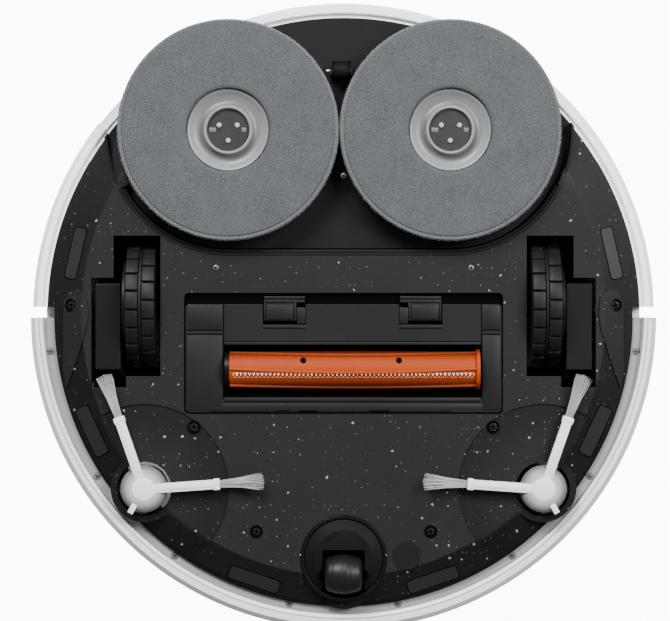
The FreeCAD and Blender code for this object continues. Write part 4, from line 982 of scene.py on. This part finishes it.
for side, sign in SIDES:
    body = side + "_sweep"
    node = side + "_side_brush"
    hub_x, hub_y = sign * SWEEP_CENTRE[0], SWEEP_CENTRE[1]
    shaft_top = high(node, "z")
    dome = bmesh.new()
    profile = (
        (0.0, 3.9), (3.0, 3.95), (6.0, 4.15), (9.0, 4.75), (11.2, 5.7), (12.5, 6.7), (13.05, 7.8),
        (13.1, 10.2), (12.8, 10.55), (2.4, 10.6),
    )
    points = [(radius * MM, height * MM) for radius, height in profile]
    points += [(2.4 * MM, shaft_top), (0.0, shaft_top)]
    lathe(dome, points, (hub_x, hub_y, 0), steps=72)
    bmesh.ops.recalc_face_normals(dome, faces=dome.faces)
    piece_from(dome, side + "_sweep_dome", dome_finish(side, hub_x, hub_y), body, 38)
    shape = bmesh.new()
    profile = ((0.0, 3.4), (5.2, 3.5), (6.3, 3.9), (6.7, 4.6), (6.7, 8.0), (0.0, 8.0))
    lathe(shape, [(r * MM, z * MM) for r, z in profile], (hub_x, hub_y, 0), steps=56)
    fans = bmesh.new()
    chance = random.Random(31 + sign)
    for index, angle in enumerate(ARM_TURNS + (TAB_TURN,)):
        real = angle if sign > 0 else 180 - angle
        move = turned(real, "Z", (hub_x, hub_y, 0))
        for near, far, width, z_low, z_high, corner in TAB if index == 2 else ARM:
            block(
                shape,
                (hub_x + near * MM, hub_x + far * MM),
                span(hub_y, width * MM),
                (z_low * MM, z_high * MM),
                corner * MM,
                move,
            )
        if index == 2:
            continue
        for _ in range(BRISTLES):
            side_start = chance.uniform(-1.9, 1.9)
            flare = side_start / 1.9 * 4.4 + chance.uniform(-0.8, 0.8)
            reach = 67.2 - chance.random() ** 2 * 3.0 - abs(flare) * 0.18
            drop = chance.uniform(1.8, 4.4)
            height = chance.uniform(5.6, 8.2)
            middle_point = (
                hub_x + 54 * MM,
                hub_y + (side_start * 0.4 + flare * 0.44) * MM,
                (height * 0.6 + drop * 0.4) * MM,
            )
            start = move @ Vector((hub_x + 41 * MM, hub_y + side_start * MM, height * MM))
            end = move @ Vector((hub_x + reach * MM, hub_y + flare * MM, drop * MM))
            bend = move @ Vector(middle_point)
            fibre(fans, bend, start, 0.36 * MM)
            fibre(fans, bend, end, 0.36 * MM)
    bmesh.ops.recalc_face_normals(shape, faces=shape.faces)
    piece_from(shape, side + "_sweeper", sweep_finish, body, 38, (node,))
    piece_from(fans, side + "_fans", sweep_bristle_finish, body, 60, (side + "_brush_bristles",))
print("side brushes made")

# %% [markdown]
# ## Screws
# A screw head is a flat dome with a cross in it; the shade in the cross is painted as a thin dark
# slab. The heads of the base sit in raised black rings, the light ones are smaller and bare.

# %% Screws
rings = bmesh.new()
heads = bmesh.new()
slot_shadows = bmesh.new()
bright_heads = bmesh.new()


def screw_head(shape, x, y, z, radius, turn):
    """A domed head whose face is at z, with its cross drawn as a thin dark slab of painted shade on
    another mesh.
    """
    profile = (
        (0.0, z), (radius * 0.6, z + 0.04 * MM), (radius * 0.9, z + 0.22 * MM),
        (radius, z + 0.6 * MM), (radius, z + 1.4 * MM),
    )
    lathe(shape, profile, (x, y, 0), steps=40)
    # Painted shade: the cross slot is a dark slab at the head's face, not a cut.
    for quarter in (0, 90):
        move = turned(turn + quarter, "Z", (x, y, 0))
        block(
            slot_shadows,
            span(x, radius * 1.3),
            span(y, radius * 0.36),
            (z - 0.03 * MM, z + 0.3 * MM),
            0.0,
            move,
        )


BASE_SCREWS = ((83.0, -62.6, 0.0), (48.4, -120.7, 0.0), (151.2, 5.0, 1.6))
for _, sign in SIDES:
    for index, (x, y, rise) in enumerate(BASE_SCREWS):
        face = underside + rise * MM - 0.55 * MM
        screw_head(heads, sign * x * MM, y * MM, face + 0.5 * MM, 2.35 * MM, 7 * index * sign)
        profile = ((2.4, 0.0), (3.4, -0.05), (3.55, 0.15), (3.55, 0.9), (2.4, 0.9))
        profile = [(radius * MM, face + height * MM) for radius, height in profile]
        lathe(rings, profile, (sign * x * MM, y * MM, 0), steps=56, closed=True)
    screw_head(bright_heads, sign * 70.9 * MM, 25.7 * MM, underside - 0.15 * MM, 1.65 * MM, 20)
bay_face = low("mop_bay_panel", "z")
screw_head(bright_heads, 0.0, 76.7 * MM, bay_face - 0.2 * MM, 1.65 * MM, 40)
piece_from(heads, "screw_heads", screw_finish, "chassis", 35, ("base_screws",))
piece_from(rings, "screw_rings", inner_and_shade_black, "chassis")
piece_from(bright_heads, "small_screw_heads", satin_steel, "chassis", 35, ("bright_screws",))
piece_from(slot_shadows, "screw_crosses", inner_and_shade_black, "chassis")

bumper_heads = bmesh.new()
slot_shadows = bmesh.new()
FLANGE_ANGLES = (7.3, 33.4, 55.1, 79.4)
flange_face = low("bumper_screws", "z")
for _, sign in SIDES:
    for angle in FLANGE_ANGLES:
        x = sign * 164.8 * MM * math.cos(math.radians(angle))
        y = -164.8 * MM * math.sin(math.radians(angle))
        screw_head(bumper_heads, x, y, flange_face - 0.02 * MM, 2.1 * MM, angle)
piece_from(bumper_heads, "bumper_screw_heads", head_finish, "bumper", 35, ("bumper_screws",))
piece_from(slot_shadows, "bumper_screw_crosses", head_shadow, "bumper")
print("screws made")

# %% [markdown]
# ## The brush guard and its latches
# The guard is a flat frame moulded in steps: two end blocks, a wide panel over the brush, a lip and a
# strip under it. Thin dark seams part them, and thin dark strips of painted shade lie where the end
# blocks step down. The latches are spring tabs in the upper panel.

# %% Guard
guard_face = low("brush_guard", "z")
softened("brush_guard", guard_finish, 0.35 * MM)
steps = bmesh.new()
seams_and_step_shades = bmesh.new()
GUARD_BLOCKS = (
    (67.2, 87.0, -53.4, -11.6, 0.45),
    (-87.0, -77.0, -53.4, -11.6, 0.45),
    (67.2, 87.0, -8.6, 5.0, 0.15),
    (-87.0, -77.0, -8.6, 5.0, 0.15),
    (-76.0, 66.2, -17.1, -15.5, 0.4),
    (-76.0, 66.2, -48.6, -46.5, 0.3),
    (-84.0, 84.0, -53.6, -49.6, 0.15),
)
for x_low, x_high, y_low, y_high, stand in GUARD_BLOCKS:
    block(
        steps,
        (x_low * MM, x_high * MM),
        (y_low * MM, y_high * MM),
        (guard_face - stand * MM, guard_face + 0.8 * MM),
        0.35 * MM,
    )
SEAMS_AND_STEP_SHADES = (
    (66.3, 66.9, -47.0, 5.4),
    (-76.8, -76.2, -47.0, 5.4),
    (-76.0, 66.2, -15.5, -15.0),
    (-75.6, 66.0, -49.0, -48.5),
    # Painted shade: the next four strips darken the sloped step of each end block.
    (67.2, 87.0, -11.6, -10.9),
    (-87.0, -77.0, -11.6, -10.9),
    (67.2, 87.0, -9.2, -8.6),
    (-87.0, -77.0, -9.2, -8.6),
    (-60.0, 74.0, -54.2, -53.9),
    (14.0, 24.0, -53.9, -52.9),
    (-24.0, -14.0, -53.9, -52.9),
    (30.0, 37.0, -53.9, -53.0),
)
for x_low, x_high, y_low, y_high in SEAMS_AND_STEP_SHADES:
    block(
        seams_and_step_shades,
        (x_low * MM, x_high * MM),
        (y_low * MM, y_high * MM),
        (guard_face - 0.06 * MM, guard_face + 0.5 * MM),
        0.0,
    )
for side, sign in SIDES:
    latch = side + "_guard_latch"
    inner = (low(latch, "x") if sign > 0 else high(latch, "x")) - sign * 0.3 * MM
    outer = (high(latch, "x") if sign > 0 else low(latch, "x")) + sign * 0.3 * MM
    top = high(latch, "y")
    pad = bmesh.new()
    latch_low = low(latch, "y")
    face = low(latch, "z")
    tab_edge = inner + sign * 4.9 * MM
    frame_in, frame_out = tab_edge + sign * 0.3 * MM, outer - sign * 0.5 * MM
    block(
        pad,
        ordered(frame_in, frame_out),
        (latch_low, top),
        (face + 0.9 * MM, face + 2.6 * MM),
        0.2 * MM,
    )
    for bar in (0, 1):
        bar_high = top - bar * 2.0 * MM
        block(
            pad,
            ordered(inner + sign * 0.5 * MM, frame_out),
            (bar_high - 1.6 * MM, bar_high),
            (face - 0.1 * MM + bar * 0.3 * MM, face + 2.0 * MM),
            0.35 * MM,
        )
    block(
        pad,
        ordered(frame_in + sign * 1.9 * MM, frame_out - sign * 1.3 * MM),
        (latch_low + 0.6 * MM, top - 4.8 * MM),
        (face + 0.15 * MM, face + 1.6 * MM),
        0.3 * MM,
    )
    inner_rail = ordered(frame_in, frame_in + sign * 1.2 * MM)
    outer_rail = ordered(frame_out - sign * 0.7 * MM, frame_out)
    for edges in (inner_rail, outer_rail):
        block(pad, edges, (latch_low, top - 3.4 * MM), (face, face + 1.6 * MM), 0.25 * MM)
    piece_from(pad, latch + "_pad", guard_finish, body_of_node[latch], 35, (latch,))
    block(
        steps,
        ordered(inner + sign * 0.2 * MM, tab_edge),
        (latch_low - 1.7 * MM, top - 6.2 * MM),
        (guard_face + 0.1 * MM, guard_face + 1.6 * MM),
        0.3 * MM,
    )
    block(
        steps,
        ordered(inner, outer),
        (latch_low - 4.2 * MM, latch_low - 2.6 * MM),
        (guard_face - 0.12 * MM, guard_face + 1.2 * MM),
        0.25 * MM,
    )
    block(
        seams_and_step_shades,
        ordered(inner, outer),
        (latch_low - 4.6 * MM, latch_low - 4.25 * MM),
        (guard_face - 0.05 * MM, guard_face + 0.5 * MM),
        0.0,
    )
bmesh.ops.recalc_face_normals(steps, faces=steps.faces)
piece_from(steps, "guard_steps", guard_finish, "chassis")
piece_from(seams_and_step_shades, "guard_seams", inner_and_shade_black, "chassis")
print("guard made")

# %% [markdown]
# ## Drive wheels
# Each tyre carries two staggered rows of tread blocks with a thin ridge between them. A block is
# bevelled once at the bottom of the wheel and turned into its place round the axle.

# %% Tyres
TREAD_COUNT = 21
for side, sign in SIDES:
    tyre = side + "_tyre"
    axle = (middle(tyre, "x"), middle(tyre, "y"), middle(tyre, "z"))
    wheel_radius = high(tyre, "z") - axle[2]
    half = (high(tyre, "x") - low(tyre, "x")) / 2
    inner_radius = 27.5 * MM
    profile = (
        (inner_radius, -half + 0.4 * MM), (wheel_radius - 3.2 * MM, -half + 0.3 * MM),
        (wheel_radius - 2.0 * MM, -half + 1.2 * MM), (wheel_radius - 1.7 * MM, -0.9 * MM),
        (wheel_radius - 0.4 * MM, -0.5 * MM), (wheel_radius - 0.4 * MM, 0.5 * MM),
        (wheel_radius - 1.7 * MM, 0.9 * MM), (wheel_radius - 2.0 * MM, half - 1.2 * MM),
        (wheel_radius - 3.2 * MM, half - 0.3 * MM), (inner_radius, half - 0.4 * MM),
    )
    shape = bmesh.new()
    lathe(shape, profile, axle, axis="X", steps=96, closed=True)
    for tread in range(TREAD_COUNT):
        for row in (-1, 1):
            angle = (tread + 0.25 * row) * 360 / TREAD_COUNT
            block(
                shape,
                span(axle[0] + row * 4.55 * MM, 7.0 * MM),
                span(axle[1], 9.3 * MM),
                (axle[2] - wheel_radius, axle[2] - wheel_radius + 2.6 * MM),
                0.55 * MM,
                turned(angle, "X", axle),
            )
    bmesh.ops.recalc_face_normals(shape, faces=shape.faces)
    piece_from(shape, side + "_tread", tread_finish, body_of_node[tyre], 35, (tyre,))
    softened(side + "_wheel_hub", wheel_finish, 0.6 * MM)
print("tyres made")

# %% [markdown]
# ## Caster and rear roller
# The caster is a dark swivel with two clip pockets and a barrel-shaped wheel. The round sensor that
# feels for carpet lies beside it, under a thin cap.

# %% Caster
softened("caster_fork", swivel_finish, 0.5 * MM)
roller = "caster_wheel"
axle = (middle(roller, "x"), middle(roller, "y"), middle(roller, "z"))
half = (high(roller, "x") - low(roller, "x")) / 2
radius = high(roller, "z") - axle[2]
profile = [(0.0, -half), (radius * 0.62, -half), (radius * 0.72, -half + 0.5 * MM)]
for step in range(-8, 9):
    share = step / 8
    groove = 0.35 * MM * (0.5 + 0.5 * math.cos(share * math.pi * 6))
    profile.append((radius * (1 - 0.2 * share * share) - groove, share * (half - 0.8 * MM)))
profile += [(radius * 0.72, half - 0.5 * MM), (radius * 0.62, half), (0.0, half)]
shape = bmesh.new()
lathe(shape, profile, axle, axis="X", steps=72)
bmesh.ops.recalc_face_normals(shape, faces=shape.faces)
piece_from(shape, "caster_barrel", barrel_finish, body_of_node[roller], 50, (roller,))
softened("rear_roller", swivel_finish, 0.6 * MM)
# Painted shade: the clip pockets are thin black crosses on the fork's face, not hollows.
shape = bmesh.new()
fork_face = low("caster_fork", "z")
for _, sign in SIDES:
    pocket_x = sign * 12.4 * MM
    for width, depth in ((3.6 * MM, 2.2 * MM), (1.7 * MM, 5.4 * MM)):
        block(shape, span(pocket_x, width), span(axle[1], depth), span(fork_face, 0.5 * MM), 0.0)
piece_from(shape, "caster_pocket_shadows", inner_and_shade_black, "caster")
shape = bmesh.new()
disc_radius = (high("carpet_sensor", "x") - low("carpet_sensor", "x")) / 2 + 0.45 * MM
disc_face = low("carpet_sensor", "z")
profile = (
    (0.0, disc_face - 0.04 * MM),
    (disc_radius, disc_face - 0.02 * MM),
    (disc_radius, disc_face + 0.6 * MM),
)
lathe(shape, profile, (middle("carpet_sensor", "x"), middle("carpet_sensor", "y"), 0), steps=56)
piece_from(shape, "sensor_skin", bay_finish, "chassis")
print("caster made")

# %% [markdown]
# ## Sensor windows, leaf plates and the mop bay
# The cliff windows lie on the slope of the base, each in a thin dark outline. A tile is a rounded
# rectangle with some thickness, laid on the slope by one matrix. The rim of the mop bay is a band that
# follows the two pads and the straight between them, with a black band of painted shadow under its
# ridge. Thin sheets close the base beside each pad and the shell's rim at its notch, and dark roofs of
# painted shade close the wheel wells.

# %% Windows and bay rim
SLOPE = math.degrees(math.atan2(9.0, 19.8))
SLOPE_START = 145.5 * MM
CHEEK_EDGE = 160.2 * MM
SKIN_HEIGHT = low("rear_shell", "z") + 2.0 * MM


def tile(shape, half_x, half_y, corner, thick, move):
    """A flat rounded rectangle about the origin, moved by a matrix."""
    part = bmesh.new()
    outline = []
    for quarter, (side_x, side_y) in enumerate(((1, 1), (-1, 1), (-1, -1), (1, -1))):
        for step in range(6):
            turn = math.radians(90 * quarter + 18 * step)
            x = side_x * (half_x - corner) + corner * math.cos(turn)
            y = side_y * (half_y - corner) + corner * math.sin(turn)
            outline.append(part.verts.new((x, y, 0)))
    part.faces.new(outline)
    thickened(part, thick)
    add_part(shape, part, move)


windows = bmesh.new()
outlines = bmesh.new()
CLIFFS = ((12.8, 12.3, 3.6), (-24.9, 10.6, 4.3), (-71.4, 9.2, 4.0))
for _, sign in SIDES:
    for angle, inset, half_width in CLIFFS:
        reach = 165.3 * MM - inset * MM
        rise = (reach - SLOPE_START) * math.tan(math.radians(SLOPE))
        around = angle if sign > 0 else 180 - angle
        for shape, margin, sink, corner in ((outlines, 0.5, 0.06, 2.4), (windows, 0.0, 0.14, 1.9)):
            move = (
                Matrix.Rotation(math.radians(around), 4, "Z")
                @ Matrix.Translation((reach, 0, underside + rise - sink * MM))
                @ Matrix.Rotation(math.radians(-SLOPE), 4, "Y")
            )
            half_x = (half_width + margin) * MM
            tile(shape, half_x, (14.4 + margin) * MM, corner * MM, 0.5 * MM, move)
piece_from(windows, "cliff_tiles", cliff_finish, "chassis", 35, ("cliff_windows",))
piece_from(outlines, "cliff_outlines", inner_and_shade_black, "chassis")

bay_x = (middle("left_mop_pad", "x"), middle("right_mop_pad", "x"))
bay_y = middle("left_mop_pad", "y")


def bay_path(reach):
    """Points round the front of the bay, a distance from the mop axes."""
    points = []
    for centre_x, start in zip(bay_x, (-27, -90)):
        for step in range(33):
            turn = math.radians(start - 63 * step / 32)
            points.append((centre_x + reach * math.cos(turn), bay_y + reach * math.sin(turn)))
    return points


def bay_band(name, profile, finish):
    """A closed profile of (reach, z) swept along the front of the bay."""
    shape = bmesh.new()
    columns = []
    for reach, z in profile:
        columns.append([shape.verts.new((x, y, z * MM)) for x, y in bay_path(reach * MM)])
    join_rows(shape, columns, closed=True)
    shape.faces.new([column[0] for column in columns])
    shape.faces.new([column[-1] for column in reversed(columns)])
    bmesh.ops.recalc_face_normals(shape, faces=shape.faces)
    piece_from(shape, name, finish, "chassis", 30)


bay_band("bay_groove", ((64.9, 17.9), (65.8, 17.9), (65.8, 18.6), (64.9, 18.6)), inner_and_shade_black)
bay_band(
    "bay_ridge",
    ((65.8, 18.6), (65.8, 12.5), (66.1, 12.1), (67.0, 12.0), (67.4, 12.4), (67.4, 18.6)),
    bay_finish,
)
# Painted shadow: a black band under the ridge.
bay_band("bay_shadow", ((67.4, 14.5), (69.5, 14.5), (69.5, 18.4), (67.4, 18.4)), inner_and_shade_black)

shape = bmesh.new()
for _, sign in SIDES:
    rows = []
    for step in range(25):
        turn = math.radians(-28 + 34 * step / 24)
        row = []
        for reach in (62.4, 64.0, 66.0, 68.0, 70.0, 71.4):
            x = sign * (bay_x[0] + reach * MM * math.cos(turn))
            y = bay_y + reach * MM * math.sin(turn)
            radius = math.hypot(x, y)
            if radius > CHEEK_EDGE:
                x, y, radius = x * CHEEK_EDGE / radius, y * CHEEK_EDGE / radius, CHEEK_EDGE
            rise = max(0.0, radius - SLOPE_START) * math.tan(math.radians(SLOPE))
            row.append(shape.verts.new((x, y, underside + rise - 0.05 * MM)))
        rows.append(row)
    join_rows(shape, rows)
bmesh.ops.remove_doubles(shape, verts=shape.verts, dist=0.01 * MM)
thickened(shape, 0.6 * MM)
piece_from(shape, "bay_cheeks", base_finish, "chassis")

shape = bmesh.new()
for _, sign in SIDES:
    inner, outer = [], []
    for step in range(17):
        turn = math.radians(31 + 22 * step / 16)
        for row, reach in ((inner, 161.0 * MM), (outer, 170.4 * MM)):
            place = (sign * reach * math.cos(turn), reach * math.sin(turn), SKIN_HEIGHT)
            row.append(shape.verts.new(place))
    join_rows(shape, [inner, outer])
thickened(shape, 0.6 * MM)
piece_from(shape, "rim_skin", shell_finish, "chassis")

# Painted shade: black sheets above the wheel wells close them.
shape = bmesh.new()
for _, sign in SIDES:
    x_span = (100 * MM, 142 * MM) if sign > 0 else (-142 * MM, -100 * MM)
    block(shape, x_span, (-46 * MM, 46 * MM), (72 * MM, 73 * MM), 0.0)
piece_from(shape, "well_shade_roofs", inner_and_shade_black, "chassis")

shape = bmesh.new()
RIM_PROFILE = ((160.3, 17.85, 0.0), (161.35, 18.3, -1.7), (161.35, 19.8, -1.7), (160.3, 19.8, 0.0))
columns = []
for radius, z, forward in RIM_PROFILE:
    arc = []
    for degree in range(-180, 1):
        turn = math.radians(degree)
        x, y = radius * math.cos(turn), radius * math.sin(turn) + forward
        arc.append(shape.verts.new((x * MM, y * MM, z * MM)))
    columns.append(arc)
join_rows(shape, columns, closed=True)
bmesh.ops.recalc_face_normals(shape, faces=shape.faces)
piece_from(shape, "base_edge", socket_finish, "chassis")
print("windows and bay made")

# %% [markdown]
# ## Camera, light and floor
# The camera looks straight up from below through a long lens. The floor shows only its upper face, so
# the camera under it sees through it. Two soft panels light the underside from well off to the side,
# so no flat face mirrors them, one lights the top, and a bright backdrop hangs above.

# %% Stage
VIEW_WIDTH = 374.5 * MM
DISTANCE = 1.4
SHARP_HEIGHT = high("front_window", "z") / 3
SENSOR = 36.0


def stage_plane(name, size, z, finish, facing_down=False):
    mesh = bpy.data.meshes.new(name)
    shape = bmesh.new()
    bmesh.ops.create_grid(shape, x_segments=1, y_segments=1, size=size / 2)
    if facing_down:
        bmesh.ops.reverse_faces(shape, faces=shape.faces)
    bmesh.ops.translate(shape, verts=shape.verts, vec=(0, 0, z))
    shape.to_mesh(mesh)
    shape.free()
    mesh.materials.append(finish)
    plane = bpy.data.objects.new(name, mesh)
    bpy.context.collection.objects.link(plane)
    plane.visible_diffuse = False
    plane.visible_glossy = False
    plane.visible_shadow = False


def one_sided(name, level, glow=0.0):
    """A surface that is only there on its front."""
    finish = Finish(name, Roughness=0.8, Emission_Strength=glow)
    tone = finish.noise(0.4, 2.0)
    colour = finish.mix(tone, grey(level * 0.98), grey(level))
    finish.show(Base_Color=colour, Emission_Color=colour)
    side = finish.wire(finish.add("ShaderNodeNewGeometry"), "Backfacing")
    clear = finish.wire(finish.add("ShaderNodeBsdfTransparent"))
    blend = finish.add("ShaderNodeMixShader", None, {0: side})
    finish.tree.links.new(finish.shader.outputs[0], blend.inputs[1])
    finish.tree.links.new(clear.socket, blend.inputs[2])
    output = finish.tree.nodes["Material Output"]
    finish.tree.links.new(blend.outputs[0], output.inputs["Surface"])
    return finish.material


stage_plane("floor", 4.0, -0.2 * MM, one_sided("pale floor", 0.82))
stage_plane("backdrop", 6.0, 2.5, one_sided("white backdrop", 0.9, 12.0), facing_down=True)


def soft_light(name, size, power, place, aim):
    lamp = bpy.data.lights.new(name, "AREA")
    lamp.shape = "SQUARE"
    lamp.size = size
    lamp.energy = power
    light = bpy.data.objects.new(name, lamp)
    light.location = place
    light.rotation_euler = (Vector(aim) - Vector(place)).to_track_quat("-Z", "Y").to_euler()
    bpy.context.collection.objects.link(light)


soft_light("key below", 0.8, 88.0, (0.55, 1.35, -1.4), (0, 0, 0))
soft_light("fill below", 0.8, 54.0, (-1.05, 0.65, -1.45), (0, 0, 0))
soft_light("key above", 1.5, 16.0, (0.7, -0.8, 1.7), (0, 0, 0))
world = bpy.data.worlds.new("studio")
world.use_nodes = True
sky = world.node_tree
sky.nodes["Background"].inputs["Color"].default_value = (1, 1, 1, 1)
sight = sky.nodes.new("ShaderNodeLightPath")
level = sky.nodes.new("ShaderNodeMapRange")
level.inputs["To Min"].default_value = 0.42
level.inputs["To Max"].default_value = 1.6
sky.links.new(sight.outputs["Is Camera Ray"], level.inputs["Value"])
sky.links.new(level.outputs["Result"], sky.nodes["Background"].inputs["Strength"])
bpy.context.scene.world = world

lens = bpy.data.cameras.new("long lens")
lens.sensor_width = SENSOR
lens.lens = SENSOR * (DISTANCE + SHARP_HEIGHT) / VIEW_WIDTH
lens.clip_start = 0.01
lens.clip_end = 50.0
camera = bpy.data.objects.new("camera", lens)
camera.location = (4.75 * MM, 1.96 * MM, -DISTANCE)
camera.rotation_euler = (0, math.pi, 0)
bpy.context.collection.objects.link(camera)
bpy.context.scene.camera = camera
